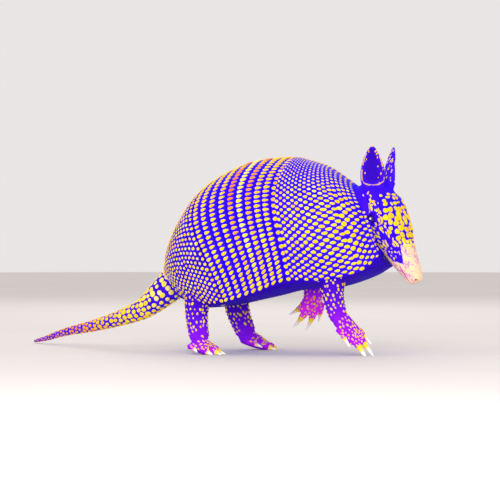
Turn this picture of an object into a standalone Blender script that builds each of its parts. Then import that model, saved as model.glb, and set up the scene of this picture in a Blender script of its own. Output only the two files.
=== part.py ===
"""Nine-banded armadillo, life size, walking with its head turned and one forefoot lifted.

Run with: blender --background --python part.py
X runs forward, Y to the animal's left and Z up from the floor. Sizes below are in millimetres
until MM turns them into the metres of the scene.
"""

import math

import bmesh
import bpy
import numpy as np
from mathutils import Vector

MM = 0.001
GAP = 0.35  # between neighbouring pieces

# ---------------------------------------------------------------- driving dimensions
SHELL = 2.8  # thickness of the armour
TILT = 0.8  # how far each band's front edge lies below its rear edge
HEM_ANGLE = math.radians(115)  # how far round from the top of the back the armour reaches
COLUMNS = 16  # facets round the armour
FIRST_BAND, LAST_BAND = 3.0, 5.0  # stations where the nine bands start and end
BAND_COUNT = 9
SHIELD_ROWS = 5
NECK_CUT = 0.58  # the station where the trunk starts, and how far before it the neck ends
NECK_GAP = 0.05
BAND_GAP = 0.006  # of a station, half the gap between two bands

# The carapace, one row for each station from the neck to the tail: the top of the back (x, z),
# the hem (x, z), the half width, the lowest point of the belly (x, z) and how far the flank
# sweeps forward of a flat hoop.
STATIONS = (
    (86, 184, 123, 107, 46, 124, 93, 3),
    (58, 203, 104, 89, 62, 102, 82, 1),
    (35, 211, 66, 79, 73, 68, 71, -5),
    (14, 214.5, 25.5, 78, 79, 28, 68, -11),
    (-32, 209, -7.5, 66, 83, -7, 60, -12),
    (-78, 186, -41, 55.5, 84, -41, 53, -12.5),
    (-106, 153, -62, 53.5, 79, -62, 49, -6),
    (-124, 119, -83, 55.5, 64, -83, 48.5, -1),
    (-132, 92, -104, 63, 42, -104, 56, 3),
)
SWEEP_POWER = 0.6  # below 1, the sweep is strongest this side of half way down the flank
CHEST_BULGE = (5, 0, -3)  # how far the chest swells between the armour and the throat
RUMP_BULGE = (-9, 0, -1)  # and the rump past the end of the armour

# The head, in its own frame: u runs from the nape to the nose, v to its left and w to its top.
HEAD_AT = (105.5, -4.7, 180.0)
HEAD_PITCH, HEAD_YAW = math.radians(61), math.radians(-20)
# Stations along u: the half width, the height above the axis and the depth below it.
HEAD = (
    (-4, 13, 7, 15),
    (4, 19.5, 13.5, 21),
    (16, 23.5, 18.5, 25),
    (34, 24.5, 19.5, 27),
    (54, 21, 17.5, 25),
    (72, 16.5, 15, 21),
    (90, 13, 12.5, 16.5),
    (104, 10.5, 10.5, 12.5),
    (114, 7.5, 7.5, 8),
)
HEAD_ROUND = 2.3  # the superellipse power of its cross section
EYE_RADIUS = 4.2
EYE_AT = (36, 21.6, -6)  # u, v and w of the left eye
SHIELD_REACH = (17, 78)  # u where the head shield starts and ends
SHIELD_ANGLE = math.radians(74)  # how far it comes down on each side
SHIELD_THICK = 1.6
POLL_U, THROAT_U = 2, 62  # how far down the head the neck reaches, on top and below
COLLAR_POWER = 2.2  # above 1, the neck's edge stays high on the head until it is near the throat
COLLAR = 1.0  # how thick the neck is where it ends on the head
HEAD_GAP = 1.2  # between the head and the socket that holds it
MOUTH_W = -5.0  # the height of the mouth slit, and where along u it starts
MOUTH_U = 62

EAR_LENGTH, EAR_WIDTH = 51.0, 25.0
EAR_AT = (8.0, 18.5, 9.5)  # u, v and w of the left ear's root
EAR_TURN = math.radians(55)  # how far each ear's mouth looks out from straight ahead
EAR_LEAN = (0.03, 0.19)  # forward and outward, for each millimetre up
EAR_THICK = 1.6
EAR_SUNK = 3.5  # how much of the ear's length lies in the head

# The tail: its centre line (x, y, z) and radius.
TAIL = (
    (-114, 0, 82, 19.5),
    (-132, 1, 67, 17),
    (-154, 11, 51, 13.4),
    (-177, 25, 40.5, 10.8),
    (-230, 59, 26.5, 7.6),
    (-288, 101, 15, 5.2),
    (-319, 126, 7, 3.9),
    (-343, 146, 2.0, 2.5),
)
TAIL_LENGTHS = 5
TAIL_SECTIONS = 5  # rings along each length
TAIL_GAP = 0.008  # of a station, about a third of a millimetre

# Each leg: its centre line (x, y, z), its half depth fore and aft and its half width.
LEGS = {
    "foreleg_right": (
        (66, -40, 104, 21, 16),
        (71, -49, 84, 15.5, 13),
        (73, -51, 62, 12, 11.5),
        (78, -51, 43, 10.5, 10),
    ),
    "foreleg_left": (
        (62, 42, 104, 21, 16),
        (38, 50, 84, 17, 13),
        (28, 48, 70, 13, 11.5),
        (25, 46, 58, 10.5, 10),
    ),
    "hindleg_right": (
        (-66, -40, 88, 26, 20),
        (-76, -54, 62, 16, 15),
        (-78, -56, 40, 12.5, 12.5),
        (-75, -57, 20, 11.5, 11.5),
    ),
    "hindleg_left": (
        (-58, 40, 88, 26, 20),
        (-66, 54, 60, 16, 15),
        (-64, 57, 41, 13.5, 12.5),
        (-56, 57, 21, 12, 12),
    ),
}

# Toes, from the inner one to the outer: offset to the outside, set-back, length, claw length,
# half thickness and how far the toe turns out in degrees.
FORE_TOES = (
    (-9, 6, 7, 12, 3.5, -12),
    (-3.5, 0, 9, 16, 4.1, -3),
    (3.5, 0, 9, 16, 4.1, 4),
    (11, 13, 6, 11, 3.4, 8),
)
LIFTED_TOES = (
    (-8.5, 1, 7, 11, 3.5, -28),
    (-3, 0, 12, 14, 4.0, -6),
    (5, 1, 9, 15, 4.0, 10),
    (10, 6, 6, 10, 3.3, 26),
)
HIND_TOES = (
    (-11.5, 14, 5, 9, 3.3, -20),
    (-6, 3, 8, 12, 3.8, -8),
    (0.5, 0, 9, 13, 4.1, 0),
    (6.5, 5, 8, 12, 3.8, 10),
    (12, 15, 6, 9, 3.3, 26),
)

CLAW_BURIED = 3.0  # how far each claw reaches back inside its toe

# Palms: how far along from ankle to knuckles, half thickness and half width.
FORE_PALM = ((-0.1, 8.5, 9.5), (0.4, 7.6, 11.5), (0.85, 6.2, 12.5), (1.0, 4.8, 12))
HIND_PALM = ((-0.1, 9.5, 10), (0.4, 8.4, 12), (0.85, 6.4, 13.5), (1.0, 5, 13))
# Each foot: the ankle and the knuckles (x, y, z), heading, slope and roll in degrees, toes,
# palm, how far the toes drop, and how each claw bends (x, y, z) for each millimetre of length.
FEET = {
    "forefoot_right": ((80, -51, 40), (98, -52, 18.5), -8, 48, -30, FORE_TOES, FORE_PALM, 0.5, (0, 0, -0.08)),
    "forefoot_left": ((26, 46, 59), (22, 46, 46), 0, 117, 62, LIFTED_TOES, FORE_PALM, 0.0, (-0.16, 0, 0.02)),
    "hindfoot_right": ((-74, -58, 10.2), (-61, -61, 4.4), -28, 12, 0, HIND_TOES, HIND_PALM, 1.2, (0, 0, -0.1)),
    "hindfoot_left": ((-53, 58, 13.5), (-33, 60, 4.2), 6, 16, 0, HIND_TOES, HIND_PALM, 1.0, (0, 0, -0.04)),
}


def shape_rows(rows, t):
    """The row at t on a smooth curve through rows that lie at t = 0, 1, 2 and so on."""
    rows = np.asarray(rows, float)
    i = min(max(math.floor(t), 0), len(rows) - 2)
    f = t - i
    before = rows[i - 1] if i > 0 else 2 * rows[0] - rows[1]
    after = rows[i + 2] if i + 2 < len(rows) else 2 * rows[-1] - rows[-2]
    here, there = rows[i], rows[i + 1]
    slope = there - before
    bend = 2 * before - 5 * here + 4 * there - after
    twist = 3 * here - before - 3 * there + after
    return here + 0.5 * (slope * f + bend * f**2 + twist * f**3)


# ---------------------------------------------------------------- scene helpers
def clear_scene():
    for obj in list(bpy.data.objects):
        bpy.data.objects.remove(obj)


def new_collection(name):
    collection = bpy.data.collections.new(name)
    bpy.context.scene.collection.children.link(collection)
    return collection


def material(name, colour, roughness, metallic=0.0):
    made = bpy.data.materials.new(name)
    made.use_nodes = True
    surface = made.node_tree.nodes["Principled BSDF"]
    surface.inputs["Base Color"].default_value = (*colour, 1)
    surface.inputs["Roughness"].default_value = roughness
    surface.inputs["Metallic"].default_value = metallic
    return made


def add_mesh(name, points, faces, finish, helper=False):
    """An object from points in millimetres. A helper is a cutter, kept out of the render."""
    mesh = bpy.data.meshes.new(name)
    mesh.from_pydata([tuple(float(c) * MM for c in p) for p in points], [], faces)
    mesh.update()
    edit = bmesh.new()
    edit.from_mesh(mesh)
    bmesh.ops.recalc_face_normals(edit, faces=edit.faces)
    edit.to_mesh(mesh)
    edit.free()
    mesh.materials.append(finish)
    obj = bpy.data.objects.new(name, mesh)
    (HELPERS if helper else ANIMAL).objects.link(obj)
    mesh.shade_smooth()
    if helper:
        obj.hide_render = True
        obj.display_type = "WIRE"
    return obj


def loft(name, rings, finish, helper=False):
    """A closed solid through rings of equal count, each a closed loop of points."""
    count = len(rings[0])
    points = [p for ring in rings for p in ring]
    faces = []
    for r in range(len(rings) - 1):
        for i in range(count):
            j = (i + 1) % count
            faces.append((r * count + i, r * count + j, (r + 1) * count + j, (r + 1) * count + i))
    faces.append(tuple(range(count)))
    faces.append(tuple((len(rings) - 1) * count + i for i in range(count)))
    return add_mesh(name, points, faces, finish, helper)


def plate(name, grid, thickness, finish):
    """An open sheet of points with Solidify, which grows it inwards from the outer face."""
    rows, columns = len(grid), len(grid[0])
    points = [p for row in grid for p in row]
    faces = [
        (r * columns + c, r * columns + c + 1, (r + 1) * columns + c + 1, (r + 1) * columns + c)
        for r in range(rows - 1)
        for c in range(columns - 1)
    ]
    obj = add_mesh(name, points, faces, finish)
    middle = Vector(np.mean(points, axis=0) * MM)
    outward = sum(((f.center - middle).dot(f.normal) for f in obj.data.polygons), 0.0)
    if outward < 0:
        obj.data.flip_normals()
    solid = obj.modifiers.new("Thickness", "SOLIDIFY")
    solid.thickness = thickness * MM
    solid.offset = -1
    return obj


def boolean(obj, other, operation):
    step = obj.modifiers.new(f"{operation.title()} {other.name}", "BOOLEAN")
    step.operation = operation
    step.object = other
    step.solver = "EXACT"


def box_helper(name, low, high):
    corners = [(x, y, z) for x in (low[0], high[0]) for y in (low[1], high[1]) for z in (low[2], high[2])]
    faces = [(0, 1, 3, 2), (4, 6, 7, 5), (0, 4, 5, 1), (2, 3, 7, 6), (0, 2, 6, 4), (1, 5, 7, 3)]
    return add_mesh(name, corners, faces, SKIN, helper=True)


# ---------------------------------------------------------------- the carapace
def hoop_point(t, angle):
    """A point of the armour's outer face at station t, this angle round from the top."""
    back_x, back_z, hem_x, hem_z, half, _, _, sweep = shape_rows(STATIONS, t)
    down = (1 - math.cos(angle)) / (1 - math.cos(HEM_ANGLE))
    swept = (1 - math.cos(2 * math.pi * down**SWEEP_POWER)) / 2
    x = back_x + (hem_x - back_x) * down + sweep * swept
    return np.array((x, half * math.sin(angle), back_z + (hem_z - back_z) * down))


def shell_point(t, angle, out=0.0):
    """The same point moved out along the armour's own normal."""
    step = 0.01
    along = hoop_point(t + step, angle) - hoop_point(t - step, angle)
    round_it = hoop_point(t, angle + step) - hoop_point(t, angle - step)
    normal = np.cross(round_it, along)
    normal /= np.linalg.norm(normal)
    return hoop_point(t, angle) + normal * out


def stations_between(start, end, rows):
    """Stations that lie closer together towards both ends, where pieces meet."""
    evenly = np.linspace(0, 1, rows + 1)
    return [start + (end - start) * (f - 0.1 * math.sin(2 * math.pi * f)) for f in evenly]


def armour(name, start, end, rows, finish, tilt=0.0):
    """A length of the carapace. With a tilt its front edge lies lower than its rear edge."""
    angles = np.linspace(-HEM_ANGLE, HEM_ANGLE, COLUMNS + 1)
    grid = []
    for t in stations_between(start, end, rows):
        sink = tilt * (end - t) / (end - start)
        grid.append([shell_point(t, a, -sink) for a in angles])
    return plate(name, grid, SHELL - tilt, finish)


def body_ring(t, out, belly_out, over=COLUMNS, under=6):
    """The body's outline at station t: round under the armour, then across the belly."""
    top = [shell_point(t, a, out) for a in np.linspace(-HEM_ANGLE, HEM_ANGLE, over + 1)]
    hem = top[-1]
    _, _, _, _, _, belly_x, belly_z, _ = shape_rows(STATIONS, t)
    low = np.array((belly_x, 0.0, belly_z - belly_out))
    below = []
    for i in range(1, under):
        turn = math.pi * i / under
        sink = math.sin(turn)
        below.append(
            np.array(
                (
                    hem[0] + (low[0] - hem[0]) * sink,
                    hem[1] * math.cos(turn),
                    hem[2] + (low[2] - hem[2]) * sink,
                )
            )
        )
    return top + below


def domed(ring, forward, steps=3, end_size=0.25):
    """Rings that close a loop with a low dome."""
    middle = np.mean(ring, axis=0)
    made = []
    for i in range(1, steps + 1):
        turn = math.acos(end_size) * i / steps
        ahead = np.asarray(forward) * math.sin(turn)
        made.append([middle + (p - middle) * math.cos(turn) + ahead for p in ring])
    return made


def flat_end(ring):
    """A smaller ring that closes the end of a loft the same way on both sides of a cut."""
    middle = np.mean(ring, axis=0)
    return [[middle + (p - middle) * 0.3 for p in ring]]


def body_solid(name, first, out, belly_out, finish, helper=False):
    """The body behind station first, this far out from the armour and from the belly."""
    front = stations_between(0, FIRST_BAND, SHIELD_ROWS)[1:]
    middle = np.linspace(FIRST_BAND, LAST_BAND, BAND_COUNT // 2 + 1)[1:-1]
    rear = stations_between(LAST_BAND, len(STATIONS) - 1, SHIELD_ROWS)
    rings = [body_ring(t, out, belly_out) for t in (first, *front, *middle, *rear)]
    rump = np.array(RUMP_BULGE) - (belly_out, 0, 0)
    return loft(name, flat_end(rings[0]) + rings + domed(rings[-1], rump, 2), finish, helper)


# ---------------------------------------------------------------- limbs and the tail
def sweep_rings(path, sides, steps, reference=(1, 0, 0), start=0.0, end=None, rounded=(0, 0)):
    """Rings along a smooth path of rows (x, y, z, half depth, half width)."""
    path = np.asarray(path, float)
    last = len(path) - 1 if end is None else end
    rings = []
    for t in np.linspace(start, last, steps):
        row = shape_rows(path, t)
        ahead = shape_rows(path, t + 0.02)[:3] - shape_rows(path, t - 0.02)[:3]
        rings.append(ring_at(row[:3], ahead, row[3], row[-1], sides, reference))
    start_cap = round_end(rings[0], rings[1], rounded[0])
    return start_cap[::-1] + rings + round_end(rings[-1], rings[-2], rounded[1])


def ring_at(centre, ahead, depth, width, sides, reference):
    ahead = np.asarray(ahead) / np.linalg.norm(ahead)
    fore = np.asarray(reference, float) - np.dot(reference, ahead) * ahead
    fore /= np.linalg.norm(fore)
    side = np.cross(ahead, fore)
    turns = [2 * math.pi * i / sides for i in range(sides)]
    return [centre + fore * depth * math.cos(a) + side * width * math.sin(a) for a in turns]


def round_end(ring, neighbour, count):
    """None, one or two smaller rings past the last one, for a rounded end."""
    middle = np.mean(ring, axis=0)
    ahead = middle - np.mean(neighbour, axis=0)
    ahead /= np.linalg.norm(ahead)
    size = np.mean([np.linalg.norm(p - middle) for p in ring])
    rings = []
    for turn in map(math.radians, ((), (60,), (45, 78))[count]):
        onward = ahead * size * 0.8 * math.sin(turn)
        rings.append([middle + (p - middle) * math.cos(turn) + onward for p in ring])
    return rings


def tail():
    """The tail in lengths, the first of which comes out of the rump."""
    made = []
    last = len(TAIL) - 1
    cuts = np.linspace(0.25, last, TAIL_LENGTHS + 1)
    for i in range(TAIL_LENGTHS):
        start = 0.0 if i == 0 else cuts[i] + TAIL_GAP
        end = cuts[i + 1] - TAIL_GAP if i < TAIL_LENGTHS - 1 else last
        is_tip = i == TAIL_LENGTHS - 1
        rings = sweep_rings(TAIL, 10, TAIL_SECTIONS, (0, 0, 1), start, end, (0, int(is_tip)))
        made.append(loft(f"tail_{i + 1}", rings, TAIL_HORN))
    boolean(made[0], ENVELOPE, "DIFFERENCE")
    boolean(made[-1], FLOOR, "DIFFERENCE")
    return made


def leg(name, room):
    """A leg, cut off where the body and its own foot begin."""
    obj = loft(name, sweep_rings(LEGS[name], 10, 6, rounded=(1, 1)), SKIN)
    boolean(obj, ENVELOPE, "DIFFERENCE")
    boolean(obj, room, "DIFFERENCE")
    return obj


def foot_axes(heading, slope, roll, outer):
    """Directions along a foot, towards its outer side and out of its top."""
    heading, slope, roll = map(math.radians, (heading, slope, roll))
    level_forward = np.array((math.cos(heading), math.sin(heading), 0.0))
    forward = level_forward * math.cos(slope) - np.array((0, 0, math.sin(slope)))
    level = np.array((-math.sin(heading), math.cos(heading), 0.0))
    upright = np.cross(forward, level)
    outward = outer * level * math.cos(roll) + upright * math.sin(roll)
    return forward, outward, np.cross(forward, outward) * outer


def toe_plans(knuckle, axes, toes, toe_drop):
    """The centre line of each toe and what its claw needs to know."""
    forward, outward, top = axes
    plans = []
    for lateral, back, length, claw, thick, turn_out in toes:
        angle = math.radians(turn_out)
        way = forward * math.cos(angle) + outward * math.sin(angle)
        base = knuckle + outward * lateral - forward * back
        tip = base + way * length - top * toe_drop
        path = (
            (*(base - forward * 6 - top), thick * 0.9, thick * 0.9),
            (*(base + way * length * 0.5 + top * 1.2), thick, thick),
            (*tip, thick * 0.85, thick * 0.9),
        )
        plans.append({"path": path, "tip": tip, "way": way, "claw": claw, "thick": thick})
    return plans


def palm_solid(name, ankle, knuckle, palm, reference, grow=0.0, helper=False):
    rows = [(*(ankle + (knuckle - ankle) * f), thick + grow, wide + grow) for f, thick, wide in palm]
    return loft(name, sweep_rings(rows, 8, 4, reference, rounded=(1, 1)), SKIN, helper)


def foot(name):
    """A foot with its toes in one solid, and its claws. Returns the room that the palm needs."""
    ankle, knuckle, heading, slope, roll, toes, palm, toe_drop, curl = FEET[name]
    ankle, knuckle = np.array(ankle, float), np.array(knuckle, float)
    axes = foot_axes(heading, slope, roll, 1 if name.endswith("left") else -1)
    plans = toe_plans(knuckle, axes, toes, toe_drop)
    whole = palm_solid(name, ankle, knuckle, palm, axes[2])
    for i, plan in enumerate(plans):
        rings = sweep_rings(plan["path"], 6, 3, axes[2], rounded=(0, 1))
        boolean(whole, loft(f"{name}_toe_{i + 1}", rings, SKIN, True), "UNION")
    boolean(whole, FLOOR, "DIFFERENCE")
    for i, plan in enumerate(plans):
        made = claw(f"{name}_claw_{i + 1}", plan, curl, axes[2])
        boolean(made, FLOOR, "DIFFERENCE")
        boolean(whole, claw(f"{name}_socket_{i + 1}", plan, curl, axes[2], GAP, True), "DIFFERENCE")
    return palm_solid(f"{name}_room", ankle, knuckle, palm, axes[2], GAP, True)


def claw(name, plan, curl, top, grow=0.0, helper=False):
    """A claw from inside the toe's end, which bends by curl over its length."""
    root = plan["tip"] - plan["way"] * CLAW_BURIED
    reach = plan["way"] * (plan["claw"] + CLAW_BURIED)
    thick = plan["thick"] * 0.72
    path = []
    for f, size in ((0, 0.9), (0.3, 1.0), (0.65, 0.66), (1.0, 0.2)):
        centre = root + reach * f + np.asarray(curl) * plan["claw"] * f * f
        path.append((*centre, thick * size * 1.1 + grow, thick * size * 0.85 + grow))
    return loft(name, sweep_rings(path, 6, 4, top), CLAW, helper)


# ---------------------------------------------------------------- the head
def head_axes():
    cp, sp = math.cos(HEAD_PITCH), math.sin(HEAD_PITCH)
    cy, sy = math.cos(HEAD_YAW), math.sin(HEAD_YAW)
    along = np.array((cp * cy, cp * sy, -sp))
    left = np.array((-sy, cy, 0.0))
    return along, left, np.cross(along, left)


def head_place(u, v, w):
    along, left, top = head_axes()
    return np.array(HEAD_AT) + along * u + left * v + top * w


def head_profile(u):
    """Half width, height and depth at u, by stations that aren't evenly spaced."""
    places = [row[0] for row in HEAD]
    t = float(np.interp(u, places, range(len(places))))
    return shape_rows(HEAD, t)[1:]


def head_point(u, angle, out=0.0):
    """The head's surface at u, this angle round from the top towards the left."""
    half, height, depth = head_profile(u)
    c, s = math.cos(angle), math.sin(angle)
    power = 2 / HEAD_ROUND
    v = (half + out) * math.copysign(abs(s) ** power, s)
    w = ((height if c > 0 else depth) + out) * math.copysign(abs(c) ** power, c)
    return head_place(u, v, w)


def head_solid(name, out, finish, helper=False, sides=16):
    turns = [2 * math.pi * i / sides for i in range(sides)]
    low, high = HEAD[0][0], HEAD[-1][0]
    places = [low, 0, 5, 11, 19, 28, 37, 47, 58, 70, 82, 92, 101, 109, high]
    rings = [[head_point(u, a, out) for a in turns] for u in places]
    rings = round_end(rings[0], rings[1], 1) + rings
    tip = head_place(high, 0, 0)
    nose = [[tip + (p - tip) * 0.55 + head_axes()[0] * (2.0 + out) for p in rings[-1]]]
    return loft(name, rings + nose, finish, helper)


def sphere(name, centre, radius, finish, helper=False):
    edit = bmesh.new()
    bmesh.ops.create_uvsphere(edit, u_segments=10, v_segments=7, radius=radius * MM)
    mesh = bpy.data.meshes.new(name)
    edit.to_mesh(mesh)
    edit.free()
    mesh.materials.append(finish)
    mesh.shade_smooth()
    obj = bpy.data.objects.new(name, mesh)
    obj.location = Vector(centre) * MM
    (HELPERS if helper else ANIMAL).objects.link(obj)
    obj.hide_render = helper
    return obj


def jaw_block(name, grow):
    """A wedge under the mouth slit, which parts the lower jaw from the head."""
    low, high = MOUTH_U - grow, HEAD[-1][0] + 12
    top = MOUTH_W + grow
    corners = []
    for u, w_top in ((low, top - 13), (low + 12, top), (high, top)):
        for v in (-30, 30):
            corners += [head_place(u, v, w_top), head_place(u, v, -40)]
    faces = [(0, 2, 3, 1), (0, 4, 6, 2), (4, 8, 10, 6), (1, 3, 7, 5), (5, 7, 11, 9), (8, 9, 11, 10)]
    faces += [(0, 1, 5, 4), (4, 5, 9, 8), (2, 6, 7, 3), (6, 10, 11, 7)]
    return add_mesh(name, corners, faces, SKIN, helper=True)


def head():
    whole = head_solid("head", 0.0, MUZZLE)
    boolean(whole, jaw_block("jaw_room", GAP), "DIFFERENCE")
    jaw = head_solid("lower_jaw", 0.0, MUZZLE)
    boolean(jaw, jaw_block("jaw_share", 0.0), "INTERSECT")
    for side, word in ((1, "left"), (-1, "right")):
        u, v, w = EYE_AT
        centre = head_place(u, v * side, w)
        sphere(f"eye_{word}", centre, EYE_RADIUS, EYE)
        boolean(whole, sphere(f"socket_{word}", centre, EYE_RADIUS + GAP, EYE, True), "DIFFERENCE")
    angles = np.linspace(-SHIELD_ANGLE, SHIELD_ANGLE, 9)
    grid = []
    for f in np.linspace(0, 1, 8):
        u = SHIELD_REACH[0] + (SHIELD_REACH[1] - SHIELD_REACH[0]) * f
        narrow = 1 - 0.35 * abs(2 * f - 1) ** 3
        grid.append([head_point(u, a * narrow, 2 * GAP + SHIELD_THICK) for a in angles])
    plate("head_shield", grid, SHIELD_THICK, HORN)
    return whole


def ear(name, side):
    """A cupped leaf: an open sheet, bent about its length, with Solidify."""
    u, v, w = EAR_AT
    root = head_place(u, v * side, w)
    yaw = HEAD_YAW + side * EAR_TURN
    mouth = np.array((math.cos(yaw), math.sin(yaw), 0.0))
    up = np.array((EAR_LEAN[0], EAR_LEAN[1] * side, 1.0))
    up /= np.linalg.norm(up)
    across = np.cross(up, mouth)
    steps = 5
    grid = []
    for i in range(steps + 1):
        f = i / steps
        wide = EAR_WIDTH / 2 * math.sin(math.pi * (0.13 + 0.87 * f) ** 0.85) ** 0.72 + 0.8
        half_bend = math.radians(85 - 30 * f)
        row = []
        for bend in np.linspace(-half_bend, half_bend, steps + 1):
            reach = wide * math.sin(bend) / math.sin(half_bend)
            cup = wide * (0.75 - 0.35 * f) * math.cos(bend)
            row.append(root + up * (EAR_LENGTH * f - EAR_SUNK) + across * reach - mouth * cup)
        grid.append(row)
    obj = plate(name, grid, EAR_THICK, EAR_SKIN)
    obj.modifiers["Thickness"].offset = 0
    for room in (HEAD_ROOM, NECK_ROOM):
        boolean(obj, room, "DIFFERENCE")
    return obj


def neck(name, grow=0.0, helper=False):
    """The neck and chest, from inside the front of the armour to a collar round the head.

    The piece itself then turns back inside as a socket for the head, and the helper is solid.
    """
    inset = grow - SHELL - 2 * GAP
    cut = NECK_CUT - NECK_GAP
    rings = [body_ring(t, inset, grow - GAP) for t in (cut, cut / 2, 0.0)]
    mouth = rings[-1]
    below = len(mouth) - COLUMNS
    turns = [*np.linspace(-HEM_ANGLE, HEM_ANGLE, COLUMNS + 1)]
    turns += [HEM_ANGLE + (2 * math.pi - 2 * HEM_ANGLE) * i / below for i in range(1, below)]
    lowness = [(1 - math.cos(turn)) / 2 for turn in turns]
    reach = [POLL_U + (THROAT_U - POLL_U) * low**COLLAR_POWER for low in lowness]
    collar = [head_point(u, turn, HEAD_GAP + COLLAR + grow) for turn, u in zip(turns, reach)]
    for f in (0.35, 0.7, 1.0):
        swell = np.array(CHEST_BULGE) * math.sin(math.pi * f)
        rings.append([m + (c - m) * f + swell * low for m, c, low in zip(mouth, collar, lowness)])
    if helper:
        closing = flat_end(rings[-1])
    else:
        back = HEAD[0][0]
        inner = []
        for f in (1, 0.5, 0):
            inner.append([head_point(back + (u - back) * f, turn, HEAD_GAP) for turn, u in zip(turns, reach)])
        closing = inner + [[p - head_axes()[0] * 6 for p in flat_end(inner[-1])[0]]]
    return loft(name, flat_end(rings[0]) + rings + closing, SKIN, helper)


def stand_on_origin():
    """Moves the whole animal so that the middle of its box stands on the origin."""
    bpy.context.view_layer.update()
    graph = bpy.context.evaluated_depsgraph_get()
    low, high = np.full(3, np.inf), np.full(3, -np.inf)
    for obj in ANIMAL.objects:
        shown = obj.evaluated_get(graph)
        mesh = shown.to_mesh()
        points = np.array([shown.matrix_world @ v.co for v in mesh.vertices])
        low, high = np.minimum(low, points.min(0)), np.maximum(high, points.max(0))
        shown.to_mesh_clear()
    shift = Vector((-(low[0] + high[0]) / 2, -(low[1] + high[1]) / 2, -low[2]))
    for obj in list(ANIMAL.objects) + list(HELPERS.objects):
        obj.location += shift
    print("moved by", [round(c / MM, 3) for c in shift], "size", (high - low) / MM)


clear_scene()
ANIMAL = new_collection("armadillo")
HELPERS = new_collection("cutters")
SKIN = material("skin", (0.07, 0.012, 0.42), 0.6)
HORN = material("horn", (0.9, 0.68, 0.05), 0.4)
TAIL_HORN = material("tail_horn", (0.7, 0.45, 0.06), 0.45)
MUZZLE = material("muzzle", (0.9, 0.62, 0.42), 0.5)
EAR_SKIN = material("ear_skin", (0.09, 0.015, 0.6), 0.55)
CLAW = material("claw", (0.88, 0.78, 0.62), 0.3)
EYE = material("eye", (0.01, 0.01, 0.02), 0.08)

FLOOR = box_helper("floor_cut", (-600, -400, -60), (400, 400, 0))
ENVELOPE = body_solid("envelope", 0.0, GAP, GAP, SKIN, True)
HEAD_ROOM = head_solid("head_room", GAP + 0.4, SKIN, True)
NECK_ROOM = neck("neck_room", GAP, True)

body_solid("trunk", NECK_CUT, -(SHELL + GAP), 0.0, SKIN)
armour("scapular_shield", 0.0, FIRST_BAND - BAND_GAP, SHIELD_ROWS, HORN)
step = (LAST_BAND - FIRST_BAND) / BAND_COUNT
for number in range(BAND_COUNT):
    begin = FIRST_BAND + step * number
    armour(f"band_{number + 1}", begin + BAND_GAP, begin + step - BAND_GAP, 1, HORN, TILT)
armour("pelvic_shield", LAST_BAND + 2 * BAND_GAP, len(STATIONS) - 1, SHIELD_ROWS, HORN)
tail()
neck("neck")
head()
ear("ear_left", 1)
ear("ear_right", -1)
for place in ("fore", "hind"):
    for word in ("left", "right"):
        leg(f"{place}leg_{word}", foot(f"{place}foot_{word}"))
stand_on_origin()
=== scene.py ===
# %% [markdown]
# # The looks of a nine-banded armadillo
#
# The solid model of this animal is already made and packed: its trunk, head, legs, tail and the
# plates of its armour are plain closed solids. This lesson gives them their looks. One skin takes
# the place of all the solids of flesh, each plate of armour gets a rounded one with scutes of horn
# on it, and every surface gets a material made from nodes.
#
# The packed model is loaded first, because every size and place below starts from it.

# %% Load the packed solids
import math

import bmesh
import bpy
import numpy as np
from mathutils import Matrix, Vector
from mathutils.bvhtree import BVHTree


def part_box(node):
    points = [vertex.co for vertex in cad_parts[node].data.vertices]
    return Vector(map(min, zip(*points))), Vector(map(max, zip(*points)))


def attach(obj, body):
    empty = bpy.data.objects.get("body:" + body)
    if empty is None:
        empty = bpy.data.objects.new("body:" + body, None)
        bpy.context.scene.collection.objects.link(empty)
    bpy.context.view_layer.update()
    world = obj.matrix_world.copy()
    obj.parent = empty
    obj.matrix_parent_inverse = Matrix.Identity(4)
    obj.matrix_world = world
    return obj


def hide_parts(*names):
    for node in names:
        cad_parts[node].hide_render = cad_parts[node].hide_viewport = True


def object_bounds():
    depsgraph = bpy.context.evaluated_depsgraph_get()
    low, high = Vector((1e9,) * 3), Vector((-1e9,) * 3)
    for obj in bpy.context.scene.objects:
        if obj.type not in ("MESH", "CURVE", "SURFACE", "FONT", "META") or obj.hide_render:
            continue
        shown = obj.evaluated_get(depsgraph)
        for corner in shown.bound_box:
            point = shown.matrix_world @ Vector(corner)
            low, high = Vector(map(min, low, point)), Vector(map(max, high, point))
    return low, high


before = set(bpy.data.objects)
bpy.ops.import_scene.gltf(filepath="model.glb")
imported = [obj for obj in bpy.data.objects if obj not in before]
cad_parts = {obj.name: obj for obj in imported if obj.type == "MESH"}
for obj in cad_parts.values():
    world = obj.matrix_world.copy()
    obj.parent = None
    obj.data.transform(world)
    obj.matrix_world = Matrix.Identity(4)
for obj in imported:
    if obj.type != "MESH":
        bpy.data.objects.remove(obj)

MM = 0.001
CAD_BOX = [list(corner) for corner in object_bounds()]
SIDES_OF_BODY = (1, -1)  # left, then right
chance = np.random.default_rng(9)
print(len(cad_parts), "solids in the box", np.round(CAD_BOX, 3).tolist())

# %% [markdown]
# ## The measures of the body
#
# The solids were built from a few rows of numbers and smooth curves through them, in millimetres
# with X forward, Y to the animal's left and Z up. The same rows give the looks their shape, only
# with more points between. A Catmull-Rom curve is used because it passes through every row.

# %% Curves through rows of numbers, and soft steps
def unit(vectors):
    return vectors / np.linalg.norm(vectors, axis=-1, keepdims=True)


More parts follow.
